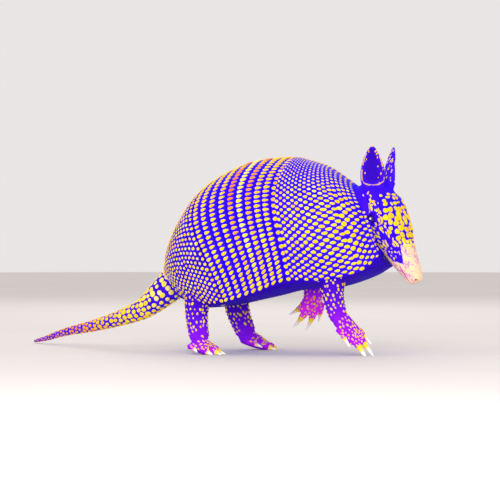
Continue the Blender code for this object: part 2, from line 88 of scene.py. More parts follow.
def rows_at(rows, t):
    """The rows at each t on a smooth curve through rows that lie at t = 0, 1, 2 and so on."""
    rows = np.asarray(rows, float)
    padded = np.vstack((2 * rows[0] - rows[1], rows, 2 * rows[-1] - rows[-2]))
    t = np.asarray(t, float)
    i = np.clip(np.floor(t).astype(int), 0, len(rows) - 2)
    f = (t - i)[..., None]
    before, here, there, after = (padded[i + k] for k in range(4))
    bend = 2 * before - 5 * here + 4 * there - after
    twist = 3 * here - before - 3 * there + after
    return here + 0.5 * ((there - before) * f + bend * f**2 + twist * f**3)


def along_rows(rows, t, step=0.02):
    """The row at t, the direction ahead there, and the millimetres in a step of 1."""
    ahead = rows_at(rows, t + step)[..., :3] - rows_at(rows, t - step)[..., :3]
    return rows_at(rows, t), unit(ahead), np.linalg.norm(ahead, axis=-1) / (2 * step)


def ways_on(point, a, b, step_a, step_b):
    """The directions in which point(a, b) moves over its surface as a and as b grow."""
    return (unit(point(a + step_a, b) - point(a - step_a, b)),
            unit(point(a, b + step_b) - point(a, b - step_b)))


def round_the_clock(count):
    return np.arange(count) * 2 * math.pi / count


def smooth_step(low, high, value):
    """0 up to low and 1 from high, or the other way round where low is the larger."""
    f = np.clip((value - low) / (high - low), 0, 1)
    return f * f * (3 - 2 * f)


def bell(value, width):
    """1 where the value is 0, and almost nothing at twice the width from there."""
    return np.exp(-((value / width) ** 2))


print("a soft step a quarter, half and all the way:", smooth_step(0, 1, np.array((0.25, 0.5, 1))))

# %% The shell, by station along the back and angle round from the top
SHELL = 2.8  # thickness of the armour
HEM_ANGLE = math.radians(115)
FIRST_BAND, LAST_BAND, BAND_COUNT = 3.0, 5.0, 9
# Top of the back (x, z), hem (x, z), half width, lowest point of the belly (x, z), forward sweep.
STATIONS = (
    (86, 184, 123, 107, 46, 124, 93, 3),
    (58, 203, 104, 89, 62, 102, 82, 1),
    (35, 211, 66, 79, 73, 68, 71, -5),
    (14, 214.5, 25.5, 78, 79, 28, 68, -11),
    (-32, 209, -7.5, 66, 83, -7, 60, -12),
    (-78, 186, -41, 55.5, 84, -41, 53, -12.5),
    (-106, 153, -62, 53.5, 79, -62, 49, -6),
    (-124, 119, -83, 55.5, 64, -83, 48.5, -1),
    (-132, 92, -104, 63, 42, -104, 56, 3),
)
TAIL_STATION = len(STATIONS) - 1
SWEEP_POWER = 0.6  # below 1, the sweep is strongest above the middle of the flank


def hoop_point(t, angle):
    t, angle = np.broadcast_arrays(np.asarray(t, float), np.asarray(angle, float))
    back_x, back_z, hem_x, hem_z, half, _, _, sweep = np.moveaxis(rows_at(STATIONS, t), -1, 0)
    down = (1 - np.cos(angle)) / (1 - math.cos(HEM_ANGLE))
    swept = (1 - np.cos(2 * math.pi * np.abs(down) ** SWEEP_POWER)) / 2
    x = back_x + (hem_x - back_x) * down + sweep * swept
    return np.stack((x, half * np.sin(angle), back_z + (hem_z - back_z) * down), -1)


def shell_frame(t, angle):
    """The direction to the rear along the shell, and straight out of it."""
    rear, around = ways_on(hoop_point, t, angle, 0.01, 0.01)
    return rear, unit(np.cross(around, rear))


def shell_point(t, angle, out=0.0):
    return hoop_point(t, angle) + shell_frame(t, angle)[1] * np.asarray(out)[..., None]


print("the shell is", round(float(np.ptp(hoop_point(np.arange(9), 0.0)[:, 0]))), "mm long on top")

# %% The head, by distance from the nape
HEAD_AT = np.array((105.5, -4.7, 180.0))
HEAD_PITCH, HEAD_YAW = math.radians(61), math.radians(-20)
ALONG = np.array((math.cos(HEAD_PITCH) * math.cos(HEAD_YAW),
                  math.cos(HEAD_PITCH) * math.sin(HEAD_YAW), -math.sin(HEAD_PITCH)))
LEFT = np.array((-math.sin(HEAD_YAW), math.cos(HEAD_YAW), 0.0))
TOP = np.cross(ALONG, LEFT)
# Distance u, half width, height above the axis and depth below it.
HEAD = (
    (-4, 13, 7, 15),
    (4, 19.5, 13.5, 21),
    (16, 23.5, 18.5, 25),
    (34, 24.5, 19.5, 27),
    (54, 21, 17.5, 25),
    (72, 16.5, 15, 21),
    (90, 13, 12.5, 16.5),
    (104, 10.5, 10.5, 12.5),
    (114, 7.5, 7.5, 8),
)
HEAD_ROUND = 2.3  # the power of its rounded cross section: 2 is an ellipse
EYE_RADIUS, EYE_AT = 4.2, (36, 21.6, -6)
MOUTH_W = -5.0


def head_place(u, v, w):
    """A place by its distance along the head, to its left and up from its axis."""
    along, left = np.multiply.outer(u, ALONG), np.multiply.outer(v, LEFT)
    return HEAD_AT + along + left + np.multiply.outer(w, TOP)


def head_coordinates(points):
    from_nape = points - HEAD_AT
    return from_nape @ ALONG, from_nape @ LEFT, from_nape @ TOP


def head_section(u):
    """The half width, height and depth of the head at u."""
    places = [row[0] for row in HEAD]
    rows = rows_at(HEAD, np.interp(u, places, np.arange(len(HEAD))))
    return np.moveaxis(rows, -1, 0)[1:]


def head_point(u, angle, out=0.0):
    u, angle = np.broadcast_arrays(np.asarray(u, float), np.asarray(angle, float))
    half, height, depth = head_section(u)
    c, s = np.cos(angle), np.sin(angle)
    power = 2 / HEAD_ROUND
    v = (half + out) * np.sign(s) * np.abs(s) ** power
    w = (np.where(c > 0, height, depth) + out) * np.sign(c) * np.abs(c) ** power
    return HEAD_AT + u[..., None] * ALONG + v[..., None] * LEFT + w[..., None] * TOP


def head_frame(u, angle):
    """The direction to the nose along the head, and straight out of it."""
    nose, around = ways_on(head_point, u, angle, 0.5, 0.02)
    return nose, unit(np.cross(nose, around))


def head_fullness(points):
    """Below 1 inside the head, 1 on its surface and above 1 outside it."""
    u, v, w = head_coordinates(points)
    half, height, depth = head_section(u)
    tall = np.where(w > 0, height, depth)
    power = HEAD_ROUND
    return (np.abs(v / half) ** power + np.abs(w / tall) ** power) ** (1 / power)


# The packed model stands on the origin, so an eye tells how far the whole animal was moved.
eye_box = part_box("eye_right")
SHIFT = np.array((eye_box[0] + eye_box[1]) / 2) / MM - head_place(EYE_AT[0], -EYE_AT[1], EYE_AT[2])
print("the animal was moved by", np.round(SHIFT, 2), "mm")

# %% The cupped ears
EAR_LENGTH, EAR_WIDTH, EAR_SUNK = 51.0, 25.0, 3.5
EAR_AT, EAR_TURN, EAR_LEAN = (8.0, 18.5, 9.5), math.radians(55), (0.03, 0.19)


def ear_axes(side):
    """An ear's root, and the directions up it, out of its mouth and across it."""
    yaw = HEAD_YAW + side * EAR_TURN
    mouth = np.array((math.cos(yaw), math.sin(yaw), 0.0))
    up = unit(np.array((EAR_LEAN[0], EAR_LEAN[1] * side, 1.0)))
    u, v, w = EAR_AT
    return head_place(u, v * side, w), up, mouth, np.cross(up, mouth)


def ear_section(f):
    """The half width of an ear f up its length, and how far each half of it bends round."""
    leaf = np.sin(math.pi * (0.13 + 0.87 * f) ** 0.85) ** 0.72
    return EAR_WIDTH / 2 * leaf + 0.8, np.radians(85 - 30 * f)


def ear_point(side, f, across_share, out=0.0):
    """A point of the cupped ear: f up its length, and from -1 to 1 across it."""
    root, up, mouth, across = ear_axes(side)
    f, share = np.broadcast_arrays(np.asarray(f, float), np.asarray(across_share, float))
    wide, half_bend = ear_section(f)
    wide = wide + out * 0.5
    reach = wide * np.sin(half_bend * share) / np.sin(half_bend)
    cup = wide * (0.75 - 0.35 * f) * np.cos(half_bend * share) + out
    height = np.multiply.outer(EAR_LENGTH * f - EAR_SUNK, up)
    return root + height + reach[..., None] * across - cup[..., None] * mouth


print("an ear's tip stands", round(float(ear_point(1, 1.0, 0.0)[2])), "mm above the floor")

# %% The legs, feet and tail
# Centre line (x, y, z), half depth and half width.
LEGS = {
    "foreleg_right": ((66, -40, 104, 21, 16), (71, -49, 84, 15.5, 13),
                      (73, -51, 62, 12, 11.5), (78, -51, 43, 10.5, 10)),
    "foreleg_left": ((62, 42, 104, 21, 16), (38, 50, 84, 17, 13),
                     (28, 48, 70, 13, 11.5), (25, 46, 58, 10.5, 10)),
    "hindleg_right": ((-66, -40, 88, 26, 20), (-76, -54, 62, 16, 15),
                      (-78, -56, 40, 12.5, 12.5), (-75, -57, 20, 11.5, 11.5)),
    "hindleg_left": ((-58, 40, 88, 26, 20), (-66, 54, 60, 16, 15),
                     (-64, 57, 41, 13.5, 12.5), (-56, 57, 21, 12, 12)),
}
# Toes: offset to the outside, set-back, length, claw length, half thickness, turn in degrees.
FORE_TOES = ((-9, 6, 7, 12, 3.5, -12), (-3.5, 0, 9, 16, 4.1, -3),
             (3.5, 0, 9, 16, 4.1, 4), (11, 13, 6, 11, 3.4, 8))
LIFTED_TOES = ((-8.5, 1, 7, 11, 3.5, -28), (-3, 0, 12, 14, 4.0, -6),
               (5, 1, 9, 15, 4.0, 10), (10, 6, 6, 10, 3.3, 26))
HIND_TOES = ((-11.5, 14, 5, 9, 3.3, -20), (-6, 3, 8, 12, 3.8, -8), (0.5, 0, 9, 13, 4.1, 0),
             (6.5, 5, 8, 12, 3.8, 10), (12, 15, 6, 9, 3.3, 26))
# Palms: share of the way from the ankle to the knuckles, half thickness, half width.
FORE_PALM = ((-0.1, 8.5, 9.5), (0.4, 7.6, 11.5), (0.85, 6.2, 12.5), (1.0, 4.8, 12))
HIND_PALM = ((-0.1, 9.5, 10), (0.4, 8.4, 12), (0.85, 6.4, 13.5), (1.0, 5, 13))
# Ankle, knuckles, heading, slope and roll in degrees, toes, palm, drop of the toes, claw bend.
FEET = {
    "forefoot_right": ((80, -51, 40), (98, -52, 18.5), -8, 48, -30,
                       FORE_TOES, FORE_PALM, 0.5, (0, 0, -0.08)),
    "forefoot_left": ((26, 46, 59), (22, 46, 46), 0, 117, 62,
                      LIFTED_TOES, FORE_PALM, 0.0, (-0.16, 0, 0.02)),
    "hindfoot_right": ((-74, -58, 10.2), (-61, -61, 4.4), -28, 12, 0,
                       HIND_TOES, HIND_PALM, 1.2, (0, 0, -0.1)),
    "hindfoot_left": ((-53, 58, 13.5), (-33, 60, 4.2), 6, 16, 0,
                      HIND_TOES, HIND_PALM, 1.0, (0, 0, -0.04)),
}
# Centre line (x, y, z) and radius.
TAIL = (
    (-114, 0, 82, 19.5),
    (-132, 1, 67, 17),
    (-154, 11, 51, 13.4),
    (-177, 25, 40.5, 10.8),
    (-230, 59, 26.5, 7.6),
    (-288, 101, 15, 5.2),
    (-319, 126, 7, 3.9),
    (-343, 146, 2.0, 2.5),
)
print(len(LEGS), "legs, and a tail through", len(TAIL), "rows")

# %% Where the toes and claws go
CLAW_BURIED = 3.0  # how much of a claw lies in its toe
CLAW_SIZES = ((0, 0.9), (0.3, 1.0), (0.65, 0.66), (1.0, 0.2))  # share of its length, of its width


def foot_axes(heading, slope, roll, outer):
    heading, slope, roll = map(math.radians, (heading, slope, roll))
    level_forward = np.array((math.cos(heading), math.sin(heading), 0.0))
    forward = level_forward * math.cos(slope) - np.array((0, 0, math.sin(slope)))
    level = np.array((-math.sin(heading), math.cos(heading), 0.0))
    upright = np.cross(forward, level)
    outward = outer * level * math.cos(roll) + upright * math.sin(roll)
    return forward, outward, np.cross(forward, outward) * outer


def foot_plan(name):
    """The rows of the palm, of each toe and of each claw, and the direction of the foot's top."""
    ankle, knuckle, heading, slope, roll, toes, palm, toe_drop, curl = FEET[name]
    ankle, knuckle = np.array(ankle, float), np.array(knuckle, float)
    outer = 1 if name.endswith("left") else -1
    forward, outward, top = foot_axes(heading, slope, roll, outer)
    palm_rows = [(*(ankle + (knuckle - ankle) * f), thick, wide) for f, thick, wide in palm]
    toe_rows, claw_rows = [], []
    for lateral, back, length, claw, thick, turn_out in toes:
        turn = math.radians(turn_out)
        way = forward * math.cos(turn) + outward * math.sin(turn)
        base = knuckle + outward * lateral - forward * back
        tip = base + way * length - top * toe_drop
        toe_rows.append((
            (*(base - forward * 6 - top), thick * 0.9, thick * 0.9),
            (*(base + way * length * 0.5 + top * 1.2), thick, thick),
            (*tip, thick * 0.85, thick * 0.9),
        ))
        rows = []
        for f, size in CLAW_SIZES:
            ahead = f * (claw + CLAW_BURIED) - CLAW_BURIED
            centre = tip + way * ahead + np.array(curl) * claw * f * f
            rows.append((*centre, thick * 0.72 * size * 1.1, thick * 0.72 * size * 0.85))
        claw_rows.append(rows)
    return palm_rows, toe_rows, claw_rows, top


print(sum(len(foot_plan(name)[2]) for name in FEET), "claws on four feet")

# %% [markdown]
# ## Meshes from grids of points
#
# Almost every piece here is a grid of points bent into a tube or a plate. NumPy works out all the
# points of a piece at once, and two small functions turn such a grid into closed faces. That is
# faster than Blender's own operators for thousands of points, and the result is the same each time.

# %% Tubes and plates
def tube(rings):
    """Points and faces of a closed tube through rings of equal count."""
    rings = np.asarray(rings, float)
    index = np.arange(rings.shape[0] * rings.shape[1]).reshape(rings.shape[:2])
    after = np.roll(index, -1, axis=1)
    sides = np.stack((index[:-1], after[:-1], after[1:], index[1:]), -1).reshape(-1, 4)
    return rings.reshape(-1, 3), sides.tolist() + [index[0].tolist(), index[-1][::-1].tolist()]


def plate(outer, inner):
    """Points and faces of a closed plate between two grids of equal size."""
    rows, columns = outer.shape[:2]
    count = rows * columns
    index = np.arange(count).reshape(rows, columns)
    corners = index[:-1, :-1], index[:-1, 1:], index[1:, 1:], index[1:, :-1]
    face = np.stack(corners, -1).reshape(-1, 4)
    rim = np.concatenate((index[0, :-1], index[:-1, -1], index[-1, :0:-1], index[:0:-1, 0]))
    after = np.roll(rim, -1)
    edge = np.stack((rim, rim + count, after + count, after), -1)
    points = np.concatenate((outer.reshape(-1, 3), inner.reshape(-1, 3)))
    return points, face.tolist() + (face[:, ::-1] + count).tolist() + edge.tolist()


def sweep(rows, t, sides, reference, out=0.0):
    """Rings along the smooth curve through rows of x, y, z, half depth and half width."""
    here, ahead, _ = along_rows(rows, t)
    reference = np.asarray(reference, float)
    fore = unit(reference - (ahead @ reference)[:, None] * ahead)
    side = np.cross(ahead, fore)
    turns = round_the_clock(sides)
    depth, width = ((here[:, column] + out)[:, None, None] for column in (3, -1))
    fore_part = fore[:, None] * depth * np.cos(turns)[None, :, None]
    return here[:, None, :3] + fore_part + side[:, None] * width * np.sin(turns)[None, :, None]


def rounded(rings, start=True, end=True):
    """The rings with domed ends."""
    rings = list(rings)
    caps = [[], []]
    ends = (rings[0], rings[1], start), (rings[-1], rings[-2], end)
    for cap, (ring, neighbour, wanted) in zip(caps, ends):
        middle = ring.mean(0)
        ahead = unit(middle - neighbour.mean(0))
        size = np.linalg.norm(ring - middle, axis=1).mean()
        for turn in np.radians((25, 48, 66, 80)) if wanted else ():
            bulge = ahead * size * 0.8 * math.sin(turn)
            cap.append(middle + (ring - middle) * math.cos(turn) + bulge)
    return np.asarray(caps[0][::-1] + rings + caps[1])


def joined(parts):
    """Several meshes' points and faces as one."""
    points, faces, count = [], [], 0
    for some_points, some_faces in parts:
        faces += [[i + count for i in face] for face in some_faces]
        points.append(some_points)
        count += len(some_points)
    return np.concatenate(points), faces


print("a tube through 3 rings of 8 points has", len(tube(np.zeros((3, 8, 3)))[1]), "faces")


# %% Pieces
def store(mesh, **values):
    """Keeps named numbers on the points of a mesh."""
    for label, numbers in values.items():
        made = mesh.attributes.new(label, "FLOAT", "POINT")
        made.data.foreach_set("value", np.asarray(numbers, np.float32))


def add_to_scene(name, data):
    obj = bpy.data.objects.new(name, data)
    bpy.context.scene.collection.objects.link(obj)
    return obj


def piece(name, points, faces, uv=None, **values):
    """An object from points in millimetres, with a map and named values for each point."""
    mesh = bpy.data.meshes.new(name)
    mesh.from_pydata(((np.asarray(points) + SHIFT) * MM).tolist(), [], faces)
    store(mesh, **values)
    if uv is not None:
        corners = np.empty(len(mesh.loops), np.int32)
        mesh.loops.foreach_get("vertex_index", corners)
        spread = np.asarray(uv, np.float32)[corners].ravel()
        mesh.uv_layers.new(name="OFBake").data.foreach_set("uv", spread)
    work = bmesh.new()
    work.from_mesh(mesh)
    bmesh.ops.recalc_face_normals(work, faces=work.faces)
    work.to_mesh(mesh)
    work.free()
    mesh.shade_smooth()
    return add_to_scene(name, mesh)


def triangles(*objects):
    for obj in objects:
        obj.data.calc_loop_triangles()
    return sum(len(obj.data.loop_triangles) for obj in objects)


def grid_map(rows, columns, copies=1):
    """A map that spreads a grid of points over the unit square, one strip for each copy."""
    across, along = np.meshgrid(np.linspace(0.02, 0.98, columns), np.linspace(0.02, 0.98, rows))
    strips = [np.stack((across, (along + k) / copies), -1).reshape(-1, 2) for k in range(copies)]
    return np.concatenate(strips)


print("a grid of 3 by 4 points has", len(grid_map(3, 4)), "places on its map")

# %% [markdown]
# ## Shader maths that reads like maths
#
# A material is a graph of nodes, and building one node at a time hides what it works out. The class
# below wraps one output socket. Adding or multiplying such values adds the Math node for it, so a
# formula in the script looks like a formula. Every other node comes from one method, which takes
# the node's type, its settings and what goes into its sockets.

# %% A value in a node graph
def tint(red, green, blue):
    """A colour given as on a screen, from 0 to 255, in the linear numbers that shaders use."""
    shares = (c / 255 for c in (red, green, blue))
    return tuple(c / 12.92 if c <= 0.04045 else ((c + 0.055) / 1.055) ** 2.4 for c in shares)


class Value:
    """An output socket with arithmetic."""

    def __init__(self, graph, socket):
        self.graph, self.socket = graph, socket

    def maths(self, operation, *inputs):
        return self.graph.node("ShaderNodeMath", {"operation": operation}, dict(enumerate(inputs)))

    def __add__(self, other):
        return self.maths("ADD", self, other)

    def __sub__(self, other):
        return self.maths("SUBTRACT", self, other)

    def __rsub__(self, other):
        return self.maths("SUBTRACT", other, self)

    def __mul__(self, other):
        return self.maths("MULTIPLY", self, other)

    def __abs__(self):
        return self.maths("ABSOLUTE", self)

    __radd__, __rmul__ = __add__, __mul__

    def between(self, low, high):
        """0 below low and 1 above high, or the other way round where low is the larger."""
        settings = {"interpolation_type": "SMOOTHSTEP"}
        inputs = {"Value": self, "From Min": low, "From Max": high}
        return self.graph.node("ShaderNodeMapRange", settings, inputs)


print("a bright shell violet is", np.round(tint(52, 14, 246), 3))


# %% A finish made of such values
class Finish:
    """A material whose surface is a Principled BSDF, with methods that add nodes to it.

    A colour is written as its three screen numbers, and a ramp as {position: colour or number}.
    """

    def __init__(self, name, **constants):
        self.material = bpy.data.materials.new(name)
        self.material.use_nodes = True
        self.tree = self.material.node_tree
        self.surface = self.tree.nodes["Principled BSDF"]
        self.set(**constants)
        self.place = self.node("ShaderNodeTexCoord", output="Object")

    def set(self, **inputs):
        """Sets or links inputs of the surface: Base_Color stands for Base Color."""
        for label, given in inputs.items():
            self.feed(self.surface.inputs[label.replace("_", " ")], given)

    def feed(self, socket, given):
        if isinstance(given, Value):
            self.tree.links.new(given.socket, socket)
        elif isinstance(given, tuple):
            socket.default_value = (*tint(*given), 1)
        else:
            socket.default_value = given

    def node(self, kind, settings=None, inputs=None, output=0):
        made = self.tree.nodes.new(kind)
        for label, given in (settings or {}).items():
            if label == "stops":
                self.set_stops(made.color_ramp, given)
            else:
                setattr(made, label, given)
        for label, given in (inputs or {}).items():
            self.feed(made.inputs[label], given)
        return Value(self, made.outputs[output])

    @staticmethod
    def set_stops(ramp, stops):
        while len(ramp.elements) < len(stops):
            ramp.elements.new(0.5)
        for element, (position, given) in zip(ramp.elements, stops.items()):
            element.position = position
            element.color = (*(tint(*given) if isinstance(given, tuple) else (given,) * 3), 1)

    def mix(self, factor, first, second, blend="MIX"):
        """From the first colour to the second as the factor goes from 0 to 1."""
        settings = {"data_type": "RGBA", "blend_type": blend}
        return self.node("ShaderNodeMix", settings, {0: factor, 6: first, 7: second}, 2)

    def ramp(self, factor, stops):
        return self.node("ShaderNodeValToRGB", {"stops": stops}, {0: factor})

    def noise(self, scale, detail=3.0, roughness=0.5, output=0):
        inputs = {"Vector": self.place, "Scale": scale, "Detail": detail, "Roughness": roughness}
        return self.node("ShaderNodeTexNoise", None, inputs, output)

    def cells(self, scale, feature="F1", place=None):
        inputs = {"Vector": place or self.place, "Scale": scale}
        return self.node("ShaderNodeTexVoronoi", {"feature": feature}, inputs)

    def attribute(self, name):
        """A number stored on each point of the mesh."""
        return self.node("ShaderNodeAttribute", {"attribute_name": name}, output="Fac")

    def bump(self, height, depth, strength):
        """Roughens the surface by a height from 0 to 1, where 1 stands this many metres high."""
        inputs = {"Height": height, "Distance": depth, "Strength": strength}
        self.set(Normal=self.node("ShaderNodeBump", None, inputs))

    def put_on(self, *objects):
        for obj in objects:
            obj.data.materials.append(self.material)


print("a finish can", ", ".join(name for name in vars(Finish) if not name.startswith("_")))

# %% [markdown]
# ## One hide over the whole body
#
# A real armadillo wears its armour over one soft hide. The solids hold the flesh in 14 pieces with
# joints between them, which would show as seams. So every piece is made again a little smaller, as
# a smooth tube, and a voxel remesh melts them all into one closed surface. Smoothing then rounds
# the places where a leg meets the body. A boolean union would leave sharp creases there instead.

# %% Tubes for the body, head, ears, legs and feet
COAT = 0.6  # how far the hide lies inside the solids
OVER, UNDER = 56, 24  # points of a ring over the back, and under the belly


def body_rings(t, out, belly_out):
    t = t[:, None]
    top = shell_point(t, np.linspace(-HEM_ANGLE, HEM_ANGLE, OVER + 1)[None], out)
    hem = top[:, -1][:, None]
    low = rows_at(STATIONS, t)[..., 5:7]
    turn = math.pi * np.arange(1, UNDER) / UNDER
    sink = np.sin(turn)
    x = hem[..., 0] + (low[..., 0] - hem[..., 0]) * sink
    z = hem[..., 2] + (low[..., 1] - belly_out - hem[..., 2]) * sink
    return np.concatenate((top, np.stack((x, hem[..., 1] * np.cos(turn), z), -1)), 1)


def neck_rings(mouth):
    """Rings from the front of the armour to a collar round the head, and on into the head."""
    under = (2 * math.pi - 2 * HEM_ANGLE) * np.arange(1, UNDER) / UNDER
    turns = np.concatenate((np.linspace(-HEM_ANGLE, HEM_ANGLE, OVER + 1), HEM_ANGLE + under))
    low = (1 - np.cos(turns)) / 2
    collar = head_point(2 + 60 * low**2.2, turns, 2.2 - COAT)
    rings = []
    for f in np.linspace(0.08, 1, 12):
        swell = np.multiply.outer(low * math.sin(math.pi * f), (5, 0, -3))
        rings.append(mouth + (collar - mouth) * f + swell)
    heart = head_place(24, 0, -4)
    return rings + [heart + (collar - heart) * f for f in (0.75, 0.4)]


def body_tube():
    rings = body_rings(np.linspace(8, 0, 90), -SHELL - COAT, -COAT)
    rear = rings[0]
    middle = rear.mean(0)
    domes = []
    for turn in np.linspace(0.2, 1.35, 6):
        bulge = np.array((-8, 0, -1)) * math.sin(turn)
        domes.append(middle + (rear - middle) * math.cos(turn) + bulge)
    return tube(domes[::-1] + list(rings) + neck_rings(rings[-1]))


def head_tube():
    rings = list(head_point(np.linspace(-4, 114, 70)[:, None], round_the_clock(56)[None], -COAT))
    first, last = rings[0], rings[-1]
    back, front = first.mean(0), head_place(114, 0, 0)
    for size, behind in ((0.8, 3), (0.4, 5)):
        rings.insert(0, back + (first - back) * size - ALONG * behind)
    for size, ahead in ((0.88, 1.2), (0.68, 1.9), (0.4, 2.2)):
        rings.append(front + (last - front) * size + ALONG * ahead)
    return tube(rings)


def ear_sheet(side):
    f, share = np.linspace(0, 0.995, 44)[:, None], np.linspace(-1, 1, 41)[None]
    return plate(ear_point(side, f, share, 0.95), ear_point(side, f, share, -0.95))


def foot_tubes(name):
    palm, toes, _, top = foot_plan(name)
    parts = [tube(rounded(sweep(palm, np.linspace(0, 3, 24), 28, top, -0.2)))]
    for toe in toes:
        parts.append(tube(rounded(sweep(toe, np.linspace(0, 2, 14), 20, top, 0.1), start=False)))
    return parts


flesh = [body_tube(), head_tube(), ear_sheet(1), ear_sheet(-1)]
for leg in LEGS.values():
    flesh.append(tube(rounded(sweep(leg, np.linspace(0, 3, 40), 36, (1, 0, 0), -COAT))))
for name in FEET:
    flesh += foot_tubes(name)
hide = piece("hide", *joined(flesh))
print(len(flesh), "tubes of flesh with", triangles(hide), "triangles")


# %% Melt them into one surface and smooth it
def apply_modifier(obj, kind, **settings):
    step = obj.modifiers.new(kind.title(), kind)
    for label, given in settings.items():
        setattr(step, label, given)
    graph = bpy.context.evaluated_depsgraph_get()
    made = bpy.data.meshes.new_from_object(obj.evaluated_get(graph))
    obj.modifiers.clear()
    obj.data = made


def points_of(obj):
    """Each vertex's place in millimetres of the body's own measures."""
    numbers = np.empty(len(obj.data.vertices) * 3)
    obj.data.vertices.foreach_get("co", numbers)
    return numbers.reshape(-1, 3) / MM - SHIFT


def normals_of(obj):
    numbers = np.empty(len(obj.data.vertices) * 3)
    obj.data.vertex_normals.foreach_get("vector", numbers)
    return numbers.reshape(-1, 3)


def move_points(obj, points):
    obj.data.vertices.foreach_set("co", ((points + SHIFT) * MM).astype(np.float32).ravel())
    obj.data.update()


apply_modifier(hide, "REMESH", mode="VOXEL", voxel_size=0.9 * MM)
apply_modifier(hide, "SMOOTH", factor=0.5, iterations=7)
print("one hide of", triangles(hide), "triangles")

# %% [markdown]
# ## Lids, nostrils, mouth and folds
#
# The head is what people look at first, so it gets the finest shapes. A sculptor would pull them
# out by hand. Here the same moves are written down: each vertex gets its place in the head's own
# directions, and smooth functions of that place push it in or out. The eye sits in an almond of
# lid that wraps the ball, the nostrils are pits with a raised rim, and the mouth is a groove. The
# faces there are split first, so that the moves have enough points to work with.

# %% Split the faces round the eyes and the nose
def split_faces_near(obj, place, reach):
    """Halves every edge within reach of a place."""
    work = bmesh.new()
    work.from_mesh(obj.data)
    centre = Vector((place + SHIFT) * MM)
    near = [e for e in work.edges if (e.verts[0].co - centre).length < reach * MM]
    bmesh.ops.subdivide_edges(work, edges=near, cuts=1, use_grid_fill=True)
    bmesh.ops.triangulate(work, faces=[f for f in work.faces if len(f.verts) > 4])
    work.to_mesh(obj.data)
    work.free()
    return len(near)


EYES = {side: head_place(EYE_AT[0], EYE_AT[1] * side, EYE_AT[2]) for side in SIDES_OF_BODY}
NOSE = head_place(113.0, 0.0, 0.0)
split = []
for eye_reach, nose_reach in ((15, 14), (8, 7)):
    split += [split_faces_near(hide, EYES[side], eye_reach) for side in SIDES_OF_BODY]
    split.append(split_faces_near(hide, NOSE, nose_reach))
print(split, "edges split")


# %% The eyes' lids
def eye_axes(side):
    """Straight out of the eye, which looks a little up and ahead, then to the nose, then up."""
    out = unit(side * LEFT + 0.45 * TOP + 0.2 * ALONG)
    nose = unit(ALONG - (ALONG @ out) * out)
    return out, nose, unit(TOP - (TOP @ out) * out - (TOP @ nose) * nose)


def shape_eye(points, side):
    """An almond opening with a lid that wraps the ball, and folds round it."""
    out_way, nose_way, up_way = eye_axes(side)
    away = points - EYES[side]
    along, up, out = away @ nose_way, away @ up_way, away @ out_way
    # The opening is a little higher at its front corner, as on the animal.
    tilted = up - 0.12 * along
    rho = np.sqrt((along / 3.9) ** 2 + (tilted / 3.1) ** 2)
    spread = along**2 + up**2
    lid = np.sqrt(np.maximum((EYE_RADIUS + 0.9) ** 2 - spread, 0))
    wanted = np.maximum(out, out + (lid - out) * (1 - smooth_step(1.25, 3.0, rho)))
    wanted += 0.35 * bell(rho - 1.12, 0.16)
    folds = sum(deep * bell(rho - at, wide) for deep, at, wide in
                ((0.5, 1.72, 0.17), (0.34, 2.35, 0.16), (0.22, 3.0, 0.18)))
    wanted -= folds * (0.65 + 0.35 * np.abs(np.sin(np.arctan2(tilted, along))))
    behind = np.sqrt(np.maximum(EYE_RADIUS**2 - spread, 0)) - 2.4
    inside = 1 - smooth_step(0.86, 1.02, rho)
    wanted = wanted + (np.minimum(behind, wanted) - wanted) * inside
    near = (out > -5) & (rho < 4.2)
    return points + np.where(near, wanted - out, 0.0)[:, None] * out_way


print("the left eye looks along", np.round(eye_axes(1)[0], 2))

# %% The nose and the mouth
NOSTRIL_V = 3.6  # how far each nostril lies from the middle


def shape_nose(points):
    u, v, w = head_coordinates(points)
    for side in SIDES_OF_BODY:
        across, up = v * side - NOSTRIL_V, w - 1.2
        away = np.sqrt(across**2 + (up * 0.8) ** 2)
        curl = np.sqrt((across - 1.7) ** 2 + (up - 1.5) ** 2)
        depth = 3.6 * bell(away, 1.4) + 1.6 * bell(curl, 1.0) - 0.55 * bell(away - 2.8, 0.8)
        way = ALONG + 0.35 * LEFT * side
        points = points - np.multiply.outer(depth * smooth_step(105, 111, u), way)
    # A shallow cleft between the nostrils.
    cleft = 0.5 * bell(v, 0.7) * smooth_step(108, 113, u) * smooth_step(-6, -3, w)
    return points - np.multiply.outer(cleft, ALONG)


def mouth_height(u):
    """Where the mouth line runs, curling up a little towards its corner."""
    return MOUTH_W + 1.4 * smooth_step(98, 80, u) - 0.4 * smooth_step(100, 114, u)


def shape_mouth(points):
    u, v, w = head_coordinates(points)
    above = w - mouth_height(u)
    groove = 1.25 * bell(above, 0.6) * smooth_step(77, 84, u)
    lips = 0.35 * (bell(above - 1.7, 0.9) + bell(above + 1.7, 0.9))
    push = groove - lips * smooth_step(82, 90, u)
    back = -smooth_step(108, 114, u) * 1.2
    to_middle = -np.sign(v) * smooth_step(0, 3, np.abs(v)) - 1e-6
    inward = unit(np.stack((back, to_middle, 0 * v), -1))
    inward = inward[:, :1] * ALONG + inward[:, 1:2] * LEFT
    near = (np.abs(above) < 5) & (u > 70) & (u < 122)
    return points + np.where(near, push, 0.0)[:, None] * inward


print("mouth line, back to front:", np.round(mouth_height(np.array((80, 98, 114))), 1), "mm")


